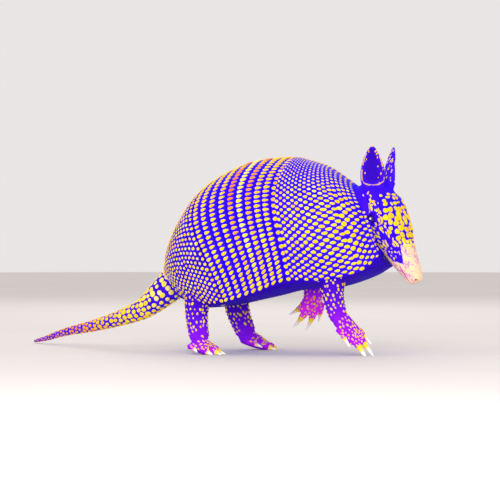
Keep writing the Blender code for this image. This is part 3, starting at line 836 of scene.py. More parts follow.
# %% Folds, and all the moves together
def shape_folds(points, normals):
    """Soft wrinkles across the neck and throat, and where each leg bends."""
    x, y, z = points.T
    bare = smooth_step(1.04, 1.16, head_fullness(points))
    bare = bare * smooth_step(72, 92, x - 0.25 * (z - 110))
    along = points @ unit(np.array((0.82, -0.1, 0.35))) + 2.2 * np.sin(y * 0.16 + z * 0.05)
    fold = np.abs(np.sin(along * math.pi / 7.5)) ** 0.7 - 0.65
    depth = 0.75 * fold * bare * smooth_step(95, 110, z)
    crease = np.sin((z + 0.35 * x) * 2 * math.pi / 3.6)
    for leg in LEGS.values():
        for knot, reach in ((1.15, 13), (2.1, 11), (2.9, 8)):
            joint = rows_at(leg, knot)
            away = np.linalg.norm(points - joint[:3], axis=1)
            depth = depth + 0.22 * crease * bell(away, reach + joint[3])
    return points + normals * depth[:, None]


HIDE_TRIANGLES = 188_000
shaped = shape_folds(points_of(hide), normals_of(hide))
for side in SIDES_OF_BODY:
    shaped = shape_eye(shaped, side)
shaped = shape_mouth(shape_nose(shaped))
shaped[:, 2] = np.maximum(shaped[:, 2], 0.0)
move_points(hide, shaped)
apply_modifier(hide, "DECIMATE", ratio=min(1.0, HIDE_TRIANGLES / triangles(hide)))
print("the hide has", triangles(hide), "triangles")

# %% [markdown]
# ## Numbers that tell the shader where it is
#
# The hide changes colour from the neck to the chest, down each leg and along the muzzle, and the
# ears are darker inside. Object coordinates alone can't tell an ear's inside from its back, so each
# vertex stores a few numbers: how far along the head it is, how far down a limb, and so on. The
# shader reads them with Attribute nodes, and noise breaks up the borders between colours.

# %% Places on the limbs and the ears
def limb_share(points):
    """0 on the body, rising down each leg to 0.86 at the toes, or 1 at those of the lifted foot."""
    best, share = np.full(len(points), 1e9), np.zeros(len(points))
    for leg, rows in LEGS.items():
        palm, toes, _, _ = foot_plan(leg.replace("leg", "foot"))
        start, ankle, end = (0.3, 0.9, 1.0) if leg == "foreleg_left" else (0.0, 0.6, 0.86)
        parts = [(rows, 30, start, ankle), (palm, 9, ankle, end - 0.06)]
        parts += [(toe, 5, end - 0.1, end) for toe in toes]
        for part, steps, low, high in parts:
            places = rows_at(part, np.linspace(0, len(part) - 1, steps))
            for f, row in zip(np.linspace(0, 1, steps), places):
                away = np.linalg.norm(points - row[:3], axis=1) / (max(row[3], row[4]) * 1.15)
                closer = away < best
                best = np.where(closer, away, best)
                share = np.where(closer, low + (high - low) * f, share)
    return share * (1 - smooth_step(1.3, 2.0, best))


def ear_places(points):
    """How much each point belongs to an ear, to its inner side, and how near its rim it is."""
    ear, inner, rim = np.zeros(len(points)), np.zeros(len(points)), np.ones(len(points))
    for side in SIDES_OF_BODY:
        root, up, mouth, across = ear_axes(side)
        away = points - root
        # The ear leans, so its own two directions aren't square to each other.
        lean = up @ mouth
        height = (away @ up - lean * (away @ mouth)) / (1 - lean**2)
        depth = (away @ mouth - lean * (away @ up)) / (1 - lean**2)
        f = (height + EAR_SUNK) / EAR_LENGTH
        wide, half_bend = ear_section(np.clip(f, 0, 1))
        share = np.clip((away @ across) / wide, -1, 1)
        bend = np.arcsin(share * np.sin(half_bend))
        in_front = depth + wide * (0.75 - 0.35 * f) * np.cos(bend)
        here = (f > 0.02) & (f < 1.05) & (np.abs(in_front) < 4) & (np.abs(away @ across) < wide + 2)
        here &= head_fullness(points) > 1.0
        ear = np.where(here, smooth_step(0.02, 0.16, f), ear)
        inner = np.where(here, smooth_step(-0.4, 0.4, in_front), inner)
        # The golden line runs up both edges and closes below in a curve, like the rim of a bowl.
        bowl = f - 0.27 + 0.15 * np.sqrt(1 - share**2)
        edge = np.maximum(np.abs(share), smooth_step(0.8, 1.04, f))
        edge = np.maximum(edge, 1 - np.clip(bowl, -1, 1) * 4)
        rim = np.where(here, np.where(bowl < 0, 1.0, edge), rim)
    return ear, inner, rim


down_leg = np.array(LEGS["foreleg_right"])[:, :3]
print("down a foreleg the share of the limb is", np.round(limb_share(down_leg), 2))

# %% Store them on the hide
shaped = points_of(hide)
head_u, head_v, head_w = head_coordinates(shaped)
on_head = 1 - smooth_step(1.04, 1.1, head_fullness(shaped))
ear, inner, rim = ear_places(shaped)
# Round each eye, a number marks where shade is painted over the lids and the skin near them.
pit, lid = 0, 0
for side in SIDES_OF_BODY:
    pit = pit + bell(np.hypot(head_v * side - NOSTRIL_V, head_w - 1.4), 1.7)
    lid = lid + (1 - smooth_step(5.4, 7.6, np.linalg.norm(shaped - EYES[side], axis=1)))
# The nostril pits get a number for the shade painted in them.
store(hide.data, head_u=head_u, head_w=head_w, on_head=on_head * (1 - ear), lid=lid,
      pit=pit * smooth_step(104, 108, head_u), limb=limb_share(shaped),
      ear=ear, inner=inner, rim=rim)
corners, faces = hide.data.vertices, hide.data.polygons
surface = BVHTree.FromPolygons([v.co.copy() for v in corners], [f.vertices[:] for f in faces])
print("numbers stored for", len(shaped), "points")

# %% [markdown]
# ## The plates of the armour
#
# Under the scutes lies the plate itself, a thin shell of bone. The packed plates are flat between a
# few corners, so each gets a fine one here, bent by the same curves. Its outer face lies a little
# lower than the packed one, which leaves room for the scutes. The edges are rolled over, and every
# band tilts so that its rear edge lies on the front of the next.

# %% A plate with rolled edges
PLATE_DEEP = 0.95  # how far the plate's face lies below the packed one
STATION_MM, FLANK_MM = 22, 150  # about how long a station is, and a flank from spine to hem
ROLL_MM = 1.6  # how far in from its edges a plate is rolled over
ROUND_PLATE = 121  # points from hem to hem
EDGE_GAP = 0.15  # millimetres between the plate and the hide, so that they never touch


def armour(name, start, end, rows, tilt=0.0, roll=1.5):
    """A plate from one station to another, whose front edge lies tilt deeper than its rear."""
    f, share = np.linspace(0, 1, rows)[:, None], np.linspace(-1, 1, ROUND_PLATE)[None]
    t, angle = start + (end - start) * f, share * HEM_ANGLE
    to_ends = np.minimum(f, 1 - f) * (end - start) * STATION_MM
    to_edge = np.minimum(to_ends, (1 - np.abs(share)) * FLANK_MM)
    rolled = roll * np.maximum(1 - to_edge / ROLL_MM, 0) ** 2
    outer = shell_point(t, angle, -PLATE_DEEP - tilt * (1 - f) - rolled)
    inner = shell_point(t, angle, -SHELL - EDGE_GAP)
    obj = piece(name + "_plate", *plate(outer, inner), uv=grid_map(rows, ROUND_PLATE, 2))
    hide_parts(name)
    return obj


BAND = (LAST_BAND - FIRST_BAND) / BAND_COUNT
plates = [armour("scapular_shield", 0.0, FIRST_BAND - 0.006, 60)]
for number in range(BAND_COUNT):
    begin = FIRST_BAND + BAND * number
    plates.append(armour(f"band_{number + 1}", begin + 0.004, begin + BAND - 0.004, 12, 0.7, 1.2))
plates.append(armour("pelvic_shield", LAST_BAND + 0.012, TAIL_STATION, 60))
print(len(plates), "plates with", triangles(*plates), "triangles")


# %% The shield on the head and one smooth skin for the tail
HEAD_PLATE = (17.0, 78.0)  # how far along the head the shield reaches


def plate_reach(u):
    """How far round from the top the head's shield comes down on each side."""
    f = (u - HEAD_PLATE[0]) / (HEAD_PLATE[1] - HEAD_PLATE[0])
    return math.radians(74) * (1 - 0.35 * np.abs(2 * f - 1) ** 3)


def plate_height(u, share):
    """How far the head's shield stands out. It sinks in before the muzzle and at its sides."""
    ends = 2.4 * smooth_step(61, 73, u) + 2.0 * smooth_step(24, 17, u)
    return 1.3 - ends - 2.0 * smooth_step(0.84, 1.0, np.abs(share))


def head_shield():
    rows, columns = 50, 61
    f, share = np.linspace(0, 1, rows)[:, None], np.linspace(-1, 1, columns)[None]
    u = HEAD_PLATE[0] + (HEAD_PLATE[1] - HEAD_PLATE[0]) * f
    angle = plate_reach(u) * share
    outer = head_point(u, angle, plate_height(u, share))
    inner = head_point(u, angle, -4.2)
    obj = piece("head_plate", *plate(outer, inner), uv=grid_map(rows, columns, 2))
    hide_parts("head_shield")
    return obj


def tail_tube():
    sides, t = 40, np.linspace(0.0, 7, 150)
    rings = rounded(sweep(TAIL, t, sides, (0, 0, 1), -PLATE_DEEP), start=False)
    rings[..., 2] = np.maximum(rings[..., 2], 0.0)
    obj = piece("tail_skin", *tube(rings), uv=grid_map(len(rings), sides))
    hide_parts(*[f"tail_{i + 1}" for i in range(5)])
    return obj


face_plate, tail_skin = head_shield(), tail_tube()
print("head plate and tail:", triangles(face_plate), triangles(tail_skin), "triangles")

# %% [markdown]
# ## Scutes
#
# The armour's scales are scutes: small domes of horn with violet skin between them. On the
# shoulder they are long ovals in rows that are offset from their neighbours, on a band each one is
# a teardrop, over the hip they are small and round, and the tail is paved with pebbles. There are
# thousands, so one function makes all the scutes of a piece at once. Each is a closed dome whose
# foot is sunk in the plate, with its own small patch on the map, so that the colours of one scute
# never run into the next.

# %% Domes of horn, many at once
SIDES = 12
PATCH = 0.003  # how far across one scute is on the map
# Rings from the foot up: share of the outline, share of the height.
DOME = ((1.0, None), (0.98, 0.3), (0.82, 0.78), (0.45, 0.97))
SUNK = 0.45  # how far the foot, the first ring, lies below the surface
FOOT_RIM = 1.1  # the rings store their share of the outline for the shader, and the foot this


class Scutes:
    """Collects scutes, then makes them one mesh."""

    def __init__(self):
        self.rows = []

    def add(self, centre, out, along, size, root, tone=0.0, taper=0.0, ragged=0.03):
        """Size is length, width and height. Root is the place on the map."""
        self.rows.append((*centre, *out, *along, *size, *root, tone, taper, ragged))

    def add_on_shell(self, t, angle, size, tone, turn=0.0, ahead=0.0, deeper=0.0, **shape):
        """One on the armour, whose length runs to the rear, or turned from there to the hem."""
        rear, out = shell_frame(t, angle)
        way = rear * math.cos(turn) + down_shell(t, angle) * math.sin(turn) if turn else rear
        root = 0.02 + 0.96 * t / TAIL_STATION, 0.5 + 0.48 * angle / HEM_ANGLE
        centre = shell_point(t + ahead, angle, -PLATE_DEEP - deeper)
        self.add(centre, out, way, size, root, tone, **shape)

    def make(self, name):
        columns = np.split(np.array(self.rows, float), np.cumsum((3, 3, 3, 1, 1, 1, 2, 1, 1)), 1)
        centre, out, along, long, wide, high, root, tone, taper, ragged = columns
        out = unit(out)
        along = unit(along - (along * out).sum(1, keepdims=True) * out)
        across = np.cross(out, along)
        turns = round_the_clock(SIDES)[None]
        count = len(self.rows)
        phase = chance.uniform(0, 2 * math.pi, (count, 3))
        wobble = 1 + ragged * (np.cos(2 * turns + phase[:, :1]) + np.cos(3 * turns + phase[:, 1:2])
                               + 0.7 * np.cos(5 * turns + phase[:, 2:]))
        x, y = np.cos(turns) * wobble, np.sin(turns) * wobble * (1 - taper * np.cos(turns))
        points, flat, rims = [], [], []
        for share, level in DOME:
            lift = high * level if level else np.full_like(high, -SUNK)
            ring = centre[:, None] + along[:, None] * (x * long / 2 * share)[..., None]
            ring = ring + across[:, None] * (y * wide / 2 * share)[..., None]
            points.append(ring + (out * lift)[:, None])
            flat.append(np.stack((x * share, y * share), -1))
            rims.append(np.full((count, SIDES), share if level else FOOT_RIM))
        points = np.concatenate((*points, (centre + out * high)[:, None]), 1)
        flat = np.concatenate((*flat, np.zeros((count, 1, 2))), 1)
        rims = np.concatenate((*rims, np.zeros((count, 1))), 1)
        each = points.shape[1]
        index = np.arange(each - 1).reshape(len(DOME), SIDES)
        after = np.roll(index, -1, 1)
        one = np.stack((index[:-1], after[:-1], after[1:], index[1:]), -1).reshape(-1, 4).tolist()
        one += [[int(a), int(b), each - 1] for a, b in zip(index[-1], after[-1])]
        one.append(index[0, ::-1].tolist())
        starts = range(0, count * each, each)
        faces = [[i + start for i in face] for start in starts for face in one]
        uv = (root[:, None] + flat * PATCH / 2).reshape(-1, 2)
        obj = piece(name, points.reshape(-1, 3), faces, uv=uv, rim=rims.ravel(),
                    tone=np.repeat(tone.ravel(), each))
        print(count, "scutes in", name, "with", triangles(obj), "triangles")
        return obj


def jitter(size):
    return float(chance.normal(0, size))


def varied(size, low=-1.0, high=1.0):
    """A factor near 1, which strays from it by low to high at most."""
    return 1 + float(np.clip(jitter(size), low, high))


# %% The shoulder shield
def row_of(t, count, pitch, half_step):
    """Angle and pitch of each scute in one row round the armour, with count of them on a side."""
    angles = np.linspace(0, HEM_ANGLE * 0.985, 400)
    steps = np.linalg.norm(np.diff(hoop_point(t, angles), axis=0), axis=1)
    shares = pitch(angles)
    length = np.concatenate(([0], np.cumsum(steps * 2 / (shares[1:] + shares[:-1]))))
    scale = length[-1] / count
    for n in np.arange(0.5 if half_step else 0.0, count + 0.01, 1.0):
        angle = float(np.interp(n * scale, length, angles))
        for side in SIDES_OF_BODY if n > 0.01 else (1,):
            yield side * angle, float(np.interp(angle, angles, shares)) * scale


def station_length(t, angle):
    """Millimetres along the armour in one station, at this angle round from the top."""
    return np.linalg.norm(hoop_point(t + 0.05, angle) - hoop_point(t - 0.05, angle)) * 10


def down_shell(t, angle):
    """The direction from the spine towards the hem on this side."""
    step = math.copysign(0.01, angle)
    return unit(hoop_point(t, angle + step) - hoop_point(t, angle - step))


def big_share(t, angle):
    """1 at the shoulder, where the scutes are largest, and 0 far from it."""
    return bell(np.degrees(np.abs(angle)) - 80, 36) * bell(t - 0.9, 1.7)


# How many scutes a row has on each side. Rows keep their count for a while, so that neighbours
# stay offset by half a step.
SHOULDER_COUNTS = (26,) + (28,) * 13 + (21,) * 5
SHOULDER_REAR, SHOULDER_SPAN = 2.9, 2.76  # in stations

shoulder = Scutes()
for row, count in enumerate(SHOULDER_COUNTS):
    f = row / (len(SHOULDER_COUNTS) - 1)
    t = SHOULDER_REAR - SHOULDER_SPAN * (0.7 * f + 0.3 * f * f)
    row_gap = SHOULDER_SPAN * (0.7 + 0.6 * f) / (len(SHOULDER_COUNTS) - 1)
    front = 1 - 0.25 * smooth_step(0.5, 0.1, t)

    def pitch(a):
        return 4.8 + 0.4 * smooth_step(0.5, 1.2, a) + 4.4 * big_share(t, a)

    for angle, wide in row_of(t, count, pitch, row % 2):
        big, flank = big_share(t, angle), smooth_step(0.35, 1.15, abs(angle))
        # A row bends with the flank, so each scute's own length follows the gap between rows.
        long = station_length(t, angle) * row_gap * (0.48 + 0.3 * flank + 0.44 * big)
        long *= front * varied(0.05)
        across = wide * (0.49 + 0.02 * big) * front * varied(0.07)
        pale = bell(abs(angle) - 0.95, 0.4) * bell(t - 1.8, 0.9)
        tone = abs(jitter(0.16)) - 0.7 * pale * (chance.random() < 0.5)
        if row == 0:
            long, across, tone = 4.7 * varied(0.05), wide * 0.6, 0.3 + jitter(0.25)
        size = long, across, 0.4 + 0.3 * flank + 0.25 * big
        shoulder.add_on_shell(t + jitter(0.006), angle, size, tone, taper=0.12, ragged=0.045)
shoulder_scutes = shoulder.make("shoulder_scutes")

# %% The nine bands
BAND_SIDE = 33  # teardrops from the spine to the hem
BAND_TONES = {0: 0.25, 2: 0.85, 3: -0.7, 4: 1.05, 6: 0.25}  # the others are 0.12
band_scutes = []
for number in range(BAND_COUNT):
    drops = Scutes()
    t = FIRST_BAND + BAND * (number + 0.5)
    band_tone = BAND_TONES.get(number, 0.12)
    for angle, wide in row_of(t, BAND_SIDE, lambda a: 1.0 - 0.1 * smooth_step(1.3, 1.9, a), 0):
        low, upper = smooth_step(1.2, 1.85, abs(angle)), smooth_step(2.0, 0.6, abs(angle))
        long = (6.9 - 0.5 * low) * (1 - 0.03 * max(number - 4, 0)) * varied(0.05)
        across = wide * (0.6 + 0.04 * low + 0.07 * (number == 3)) * varied(0.06)
        fade = 0.3 + 0.7 * upper if band_tone > 0 else 0.35 + 0.65 * upper
        # Near the hem the scutes turn, so that they rise towards the front.
        drops.add_on_shell(t, angle, (long, across, 0.95), band_tone * fade + jitter(0.12),
                           turn=math.radians(32) * low, ahead=0.01, deeper=0.3,
                           taper=-0.5 + 0.32 * low, ragged=0.025)
    band_scutes.append(drops.make(f"band_scutes_{number + 1}"))

# %% The hip shield
HIP_COUNTS = (31,) * 6 + (26,) * 4 + (21,) * 3 + (17,) * 2 + (13,) * 2
HIP_START, HIP_MARGINS = 0.1, 0.17  # stations left free in front, and at both ends together
HIP_SPAN = TAIL_STATION - LAST_BAND - HIP_MARGINS
hip = Scutes()
for row, count in enumerate(HIP_COUNTS):
    f = row / (len(HIP_COUNTS) - 1)
    t = LAST_BAND + HIP_START + HIP_SPAN * f
    for angle, wide in row_of(t, count, lambda a: 1.0 + 0.2 * smooth_step(0.3, 1.2, a), row % 2):
        low = smooth_step(1.2, 1.9, abs(angle))
        gap = station_length(t, angle) * HIP_SPAN / (len(HIP_COUNTS) - 1)
        long = min(gap * (0.62 + 0.12 * low), 3.9) * varied(0.09)
        across = min(wide * 0.58, 3.5) * varied(0.09)
        t_here = t + jitter(0.008)
        tone = abs(jitter(0.15)) - 0.6 * (chance.random() < 0.15 + 0.2 * f)
        hip.add_on_shell(t_here, angle, (long, across, 0.42), tone, ragged=0.05)
hip_scutes = hip.make("hip_scutes")


# %% The tail's pebbles
def tail_spot(t, turn, out):
    """A place on the tail's skin, straight out of it and along it."""
    here, ahead, _ = along_rows(TAIL, t)
    top = unit(np.array((0, 0, 1.0)) - ahead[2] * ahead)
    away = top * math.cos(turn) + np.cross(ahead, top) * math.sin(turn)
    return here[:3] + away * (here[3] + out), away, ahead


# Place on the tail, pitch, how much longer than wide a pebble is, how much of the pitch it covers
# and its tone, from cream at the root to red at the tip.
PEBBLES = (
    (0, 7.4, 1.0, 0.76, -1.0),
    (2, 6.8, 1.3, 0.78, -0.25),
    (3.5, 6.1, 1.55, 0.75, 0.05),
    (4.3, 5.2, 1.65, 0.7, 0.8),
    (5.2, 4.4, 1.65, 0.56, 1.0),
    (7, 3.4, 1.6, 0.46, 1.25),
)
pebble_places, *pebble_rules = zip(*PEBBLES)
pebbles = Scutes()
t, row = 0.35, 0
while t < 6.9:
    here, _, speed = along_rows(TAIL, t)
    girth = 2 * math.pi * here[3]
    pitch, stretch, fill, tone = (float(np.interp(t, pebble_places, rule)) for rule in pebble_rules)
    count = max(5, round(girth / pitch))
    for k in range(count):
        turn = (k + 0.5 * (row % 2)) * 2 * math.pi / count + jitter(0.05)
        centre, out, ahead = tail_spot(t + jitter(0.01), turn, -PLATE_DEEP)
        fill_here = fill * varied(0.14, -0.3, 0.22)
        if centre[2] < 0.6:
            continue
        size = (pitch * stretch * fill_here, girth / count * fill_here,
                0.7 - 0.35 * smooth_step(3.5, 5.5, t))
        root = 0.02 + 0.96 * t / 7, 0.02 + 0.96 * (turn / (2 * math.pi) % 1)
        tone_here = tone - 1 + varied(0.12, -0.2, 0.2)
        pebbles.add(centre, out, ahead, size, root, tone_here, ragged=0.045)
    t += pitch * stretch * 0.9 / speed
    row += 1
tail_pebbles = pebbles.make("tail_pebbles")

# %% [markdown]
# ## Scutes on the hide
#
# On the legs, feet, cheeks and ears the scutes sit in soft skin, apart from each other. Nobody can
# say beforehand where the melted hide is, so a ray goes from the middle of the limb outwards, and
# the scute is set where it meets the hide.

# %% Find the hide with rays
def on_hide(origin, direction, reach):
    """Where a ray from inside leaves the hide within reach, in the body's own millimetres."""
    start = Vector((np.asarray(origin) + SHIFT) * MM)
    hit, normal, _, _ = surface.ray_cast(start, Vector(direction), reach * MM)
    if hit is None:
        return None
    return np.array(hit) / MM - SHIFT, np.array(normal)


belly, _ = on_hide((0, 0, 120), (0, 0, -1), 120)
print("the belly hangs", round(float(belly[2])), "mm above the floor")


# %% The legs and feet
def limb_scutes(collected, rows, t_range, reference, gap, long, root, tone, facing=None):
    """Sets scutes in offset rows round a limb."""
    start, end = t_range
    t, row = start, 0
    while t < end:
        here, ahead, speed = along_rows(rows, t)
        fore = unit(np.asarray(reference, float) - np.dot(reference, ahead) * ahead)
        side = np.cross(ahead, fore)
        count = max(5, round(math.pi * (here[3] + here[-1]) / gap))
        for k in range(count):
            turn = (k + 0.5 * (row % 2) + jitter(0.13)) * 2 * math.pi / count
            away = fore * math.cos(turn) + side * math.sin(turn)
            found = on_hide(here[:3] + ahead * jitter(0.14 * gap), away, here[3] * 1.7 + 4)
            if found is None or found[0][2] < 1.5 or chance.random() < 0.1:
                continue
            place, out = found
            if np.dot(out, away) < 0.35 or (facing is not None and np.dot(out, facing) < -0.15):
                continue
            size = long * varied(0.2, -0.35, 0.4)
            patch = (root[0] + 0.2 * (t - start) / (end - start),
                     root[1] + 0.2 * (turn / (2 * math.pi) % 1))
            collected.add(place, out, ahead, (size, size * 0.62, 0.55), patch,
                          tone + jitter(0.25), ragged=0.06)
        t += gap * 0.9 / speed
        row += 1


legs = Scutes()
for number, (leg, rows) in enumerate(LEGS.items()):
    palm, toes, _, top = foot_plan(leg.replace("leg", "foot"))
    root_u = 0.02 + 0.24 * number
    limb_scutes(legs, rows, (1.0, 2.98), (1, 0, 0), 5.5, 3.3, (root_u, 0.02), 0.1)
    limb_scutes(legs, palm, (0.5, 2.9), top, 4.8, 3.0, (root_u, 0.26), 0.1, top)
    for k, toe in enumerate(toes):
        limb_scutes(legs, toe, (0.7, 1.8), top, 3.6, 2.2, (root_u, 0.5 + 0.09 * k), 0.15, top)
leg_scutes = legs.make("leg_scutes")

# %% [markdown]
# ## Scutes on the head and ears
#
# The forehead wears irregular plates that nearly touch, like paving. The cheeks have small long
# scutes that run towards the nose, and each ear has a few streaks of horn.

# %% The forehead
def head_root(u, angle):
    return 0.1 + 0.8 * u / 120, 0.5 + 0.45 * angle / math.pi


face = Scutes()
row, u = 0, 20.0
while u < 80.0:
    reach = 0.97 * float(plate_reach(min(u, 78.0)))
    big = smooth_step(28, 44, u)
    pitch = 6.0 + 0.6 * big - 2.0 * smooth_step(64, 78, u)
    angles = np.linspace(-reach, reach, 200)
    steps = np.linalg.norm(np.diff(head_point(u, angles), axis=0), axis=1)
    length = np.concatenate(([0], np.cumsum(steps)))
    count = max(5, round(length[-1] / (pitch * 1.02)))
    for k in range(count + row % 2):
        share = min(max((k + 0.5 * (1 - row % 2) + jitter(0.16)) / count, 0.02), 0.98)
        angle, here = float(np.interp(share * length[-1], length, angles)), u + jitter(0.16) * pitch
        side_edge = smooth_step(0.72, 0.9, abs(angle) / reach)
        if chance.random() < 0.2 * (1 - big) + 0.3 * smooth_step(74, 80, u) + 0.3 * side_edge:
            continue
        nose, out = head_frame(here, angle)
        height = max(float(plate_height(here, angle / reach)), -0.65)
        long, across = (pitch * fill * (1 - 0.3 * side_edge) * varied(0.16)
                        for fill in (0.64 + 0.37 * big, 0.78 + 0.19 * big))
        size = long, across, 0.85 - 0.3 * smooth_step(68, 78, here)
        face.add(head_point(here, angle, height), out, nose, size, head_root(here, angle),
                 abs(jitter(0.14)) - 0.9 * smooth_step(70, 79, here), ragged=0.085)
    u += pitch * 0.93
    row += 1
print(len(face.rows), "plates on the forehead")


# %% The cheeks, the jaw and round the eyes
def out_of_head(u, angle):
    """Where a ray from the middle of the head leaves the hide."""
    middle = head_place(u, 0, -3)
    return on_hide(middle, unit(head_point(u, angle) - middle), 40)


for u in np.arange(10.0, 90.0, 5.0):
    for k, angle in enumerate(np.radians(np.arange(76, 138, 9.0))):
        for side in SIDES_OF_BODY:
            here = u + jitter(0.9) + (2.5 if k % 2 else 0)
            turn = side * (angle + jitter(0.045))
            found = out_of_head(here, turn)
            if found is None:
                continue
            place, normal = found
            near_eye = np.linalg.norm(place - EYES[side]) < 8.0
            if near_eye or head_fullness(place[None])[0] > 1.12 or chance.random() < 0.2:
                continue
            # Fewer and smaller towards the jaw and towards the muzzle.
            fade = smooth_step(92, 66, here) * smooth_step(142, 112, np.degrees(angle))
            if fade < 0.1:
                continue
            size = (1.9 + 2.1 * fade) * varied(0.25, -0.4, 0.5)
            nose, _ = head_frame(here, turn)
            way = nose + jitter(0.25) * np.cross(normal, nose)
            face.add(place, normal, way, (size * 1.1, size * 0.54, 0.45), head_root(here, turn),
                     jitter(0.2), ragged=0.1)

# A row of long ones lies along the edge of the jaw, thinner towards the nose.
for u in np.arange(62.0, 87.0, 4.1):
    for side in SIDES_OF_BODY:
        turn = side * math.radians(131 + jitter(0.8))
        nose, _ = head_frame(u, turn)
        found = out_of_head(u, turn)
        if found is not None:
            size = 4.2 + 2 * jitter(0.15), 3.5 - 0.1 * (u - 62), 0.4
            face.add(*found, nose, size, head_root(u, turn), abs(jitter(0.15)), ragged=0.06)

# Small scutes ring each eye, and a few more run from there up to the ear.
RING = 14
spots = [(k, 9.0 + 1.6 * (k % 2)) for k in range(RING)]
spots += [(4.5, 13.5), (5.5, 15), (6.4, 13.6), (5.0, 18), (6.1, 18.5)]
for side in SIDES_OF_BODY:
    out_way, nose_way, up_way = eye_axes(side)
    for step, gap in spots:
        turn, gap = step * 2 * math.pi / RING + jitter(0.09), gap + jitter(0.5)
        way = nose_way * math.cos(turn) + up_way * math.sin(turn)
        found = on_hide(EYES[side] - out_way * 4 + way * gap, out_way, 16)
        if found is None or chance.random() < 0.15:
            continue
        place, normal = found
        size = (3.4 if gap > 12 else 2.7) * varied(0.2, -0.3, 0.4)
        u, angle = EYE_AT[0] + gap * math.cos(turn), side * (1.35 - 0.04 * gap * math.sin(turn))
        face.add(place, normal, np.cross(normal, way) + 0.4 * way, (size, size * 0.62, 0.45),
                 head_root(u, angle), jitter(0.2), ragged=0.09)
head_scutes = face.make("head_scutes")

# %% The sides of the neck
# In front of the shoulder shield a few more rows sit in the soft skin, smaller and smaller.
FRONT_EDGE = 0.06  # the station where the shield starts
throat = Scutes()
for row, ahead in enumerate(np.arange(3.2, 24, 4.6)):
    for k, angle in enumerate(np.radians(np.arange(58, 122, 5.6)) + 0.05 * (row % 2)):
        for side in SIDES_OF_BODY:
            rear, out = shell_frame(FRONT_EDGE, side * (angle + jitter(0.012)))
            goal = shell_point(FRONT_EDGE, side * angle, -3.0)
            goal = goal - (rear + 0.12 * out) * (ahead + jitter(0.3))
            found = on_hide(goal - out * 16, unit(out), 30)
            if found is None or head_fullness(found[0][None])[0] < 1.25:
                continue
            middle = bell(np.degrees(angle) - 92, 26)
            if chance.random() > 1.35 * middle - 0.12 * row:
                continue
            size = (5.2 - 0.75 * row) * (0.7 + 0.3 * middle) * varied(0.1)
            root = 0.04 + 0.03 * row + (0.5 if side > 0 else 0), 0.04 + 0.07 * k
            throat.add(*found, rear, (size, size * 0.66, 0.5), root, abs(jitter(0.15)),
                       taper=0.1, ragged=0.05)
throat_scutes = throat.make("neck_scutes")

# %% The backs and insides of the ears
# Whether they sit on the back, their places across it, the share left out on the left ear and on
# the right one, their length, and where they start on the map.
STREAKS = ((True, (-0.66, -0.3, 0.06, 0.42, 0.74), (0.12, 0.42), 2.9, 0.04),
           (False, (-0.72, 0.5, 0.74), (0.45, 0.45), 2.3, 0.52))
streaks = Scutes()
for side in SIDES_OF_BODY:
    _, up, mouth, across = ear_axes(side)
    left = side > 0
    for back, shares, left_out, long, root_v in STREAKS:
        for f in np.arange(0.22, 0.95, 0.085):
            for share in shares:
                f_here, share_here = f + jitter(0.02), share + jitter(0.08)
                if chance.random() < left_out[0 if left else 1]:
                    continue
                # The middle of the sheet lies inside the ear, so rays start there.
                way = (-mouth if back else mouth) + (0.8 if back else -0.8) * share_here * across
                found = on_hide(ear_point(side, f_here, share_here), unit(way), 4)
                if found is None or head_fullness(found[0][None])[0] < 1.1:
                    continue
                size = long * varied(0.2)
                root = 0.25 + 0.2 * share_here + (0.5 if left else 0), root_v + 0.44 * f
                streaks.add(*found, up + 0.5 * share_here * across, (size, size * 0.54, 0.32),
                            root, (0.2 if left else 0.4) + jitter(0.25), ragged=0.1)
ear_scutes = streaks.make("ear_scutes")

# %% [markdown]
# ## Claws and eyes
#
# Each claw grows out of a rounded nail bed and tapers to a blunt tip, bent a little down. It is
# lofted through the same four rings as the packed one, with many more between. The eyes are whole
# balls behind the lids, because a real eye is round however little of it shows.

# %% Eighteen claws
CLAW_RINGS, CLAW_SIDES = 22, 18


def claw(name, rows, top):
    rings = sweep(rows, np.linspace(0, 3, CLAW_RINGS), CLAW_SIDES, top)
    middle = rings.mean(1, keepdims=True)
    # The nail bed swells over the root, and the underside of the claw is flatter than its top.
    f = np.linspace(0, 1, CLAW_RINGS)
    swell = 1 + 0.34 * bell(f - 0.24, 0.17) - 0.06 * bell(f - 0.5, 0.06)
    swell = swell + 0.12 * smooth_step(0.5, 0.7, f)
    rings = middle + (rings - middle) * swell[:, None, None]
    below = ((rings - middle) @ top)[..., None]
    rings = rounded(rings - np.minimum(below, 0) * 0.35 * top)
    rings[..., 2] = np.maximum(rings[..., 2], 0.0)
    along = np.repeat(np.linspace(0, 1, len(rings)), CLAW_SIDES)
    obj = piece(name + "_nail", *tube(rings), uv=grid_map(len(rings), CLAW_SIDES), along=along)
    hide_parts(name)
    return obj


claws = []
for foot in FEET:
    _, _, claw_rows, top = foot_plan(foot)
    claws += [claw(f"{foot}_claw_{k + 1}", rows, top) for k, rows in enumerate(claw_rows)]
print(len(claws), "claws with", triangles(*claws), "triangles")


# %% Two eyes
def eyeball(name, centre, side):
    """A ball with a slight bulge of cornea, whose iris looks the way the lids open."""
    out, rows, columns = LEFT * side, 40, 48
    lat, turns = np.linspace(0.02, math.pi - 0.02, rows), round_the_clock(columns)
    radius = EYE_RADIUS * (1 + 0.035 * bell(lat, 0.5))
    ring = np.cos(turns)[:, None] * ALONG + np.sin(turns)[:, None] * TOP
    rings = centre + (radius * np.cos(lat))[:, None, None] * out
    rings = rings + (radius * np.sin(lat))[:, None, None] * ring[None]
    from_centre = unit(rings - centre)
    glint = unit(out + 0.3 * TOP + 0.05 * ALONG)
    from_pole, from_glint = (np.arccos(np.clip(from_centre @ way, -1, 1)).ravel()
                             for way in (eye_axes(side)[0], glint))
    obj = piece(name + "_ball", *tube(rings), uv=grid_map(rows, columns),
                from_pole=from_pole, glint=1 - smooth_step(0.2, 0.3, from_glint))
    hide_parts(name)
    return obj


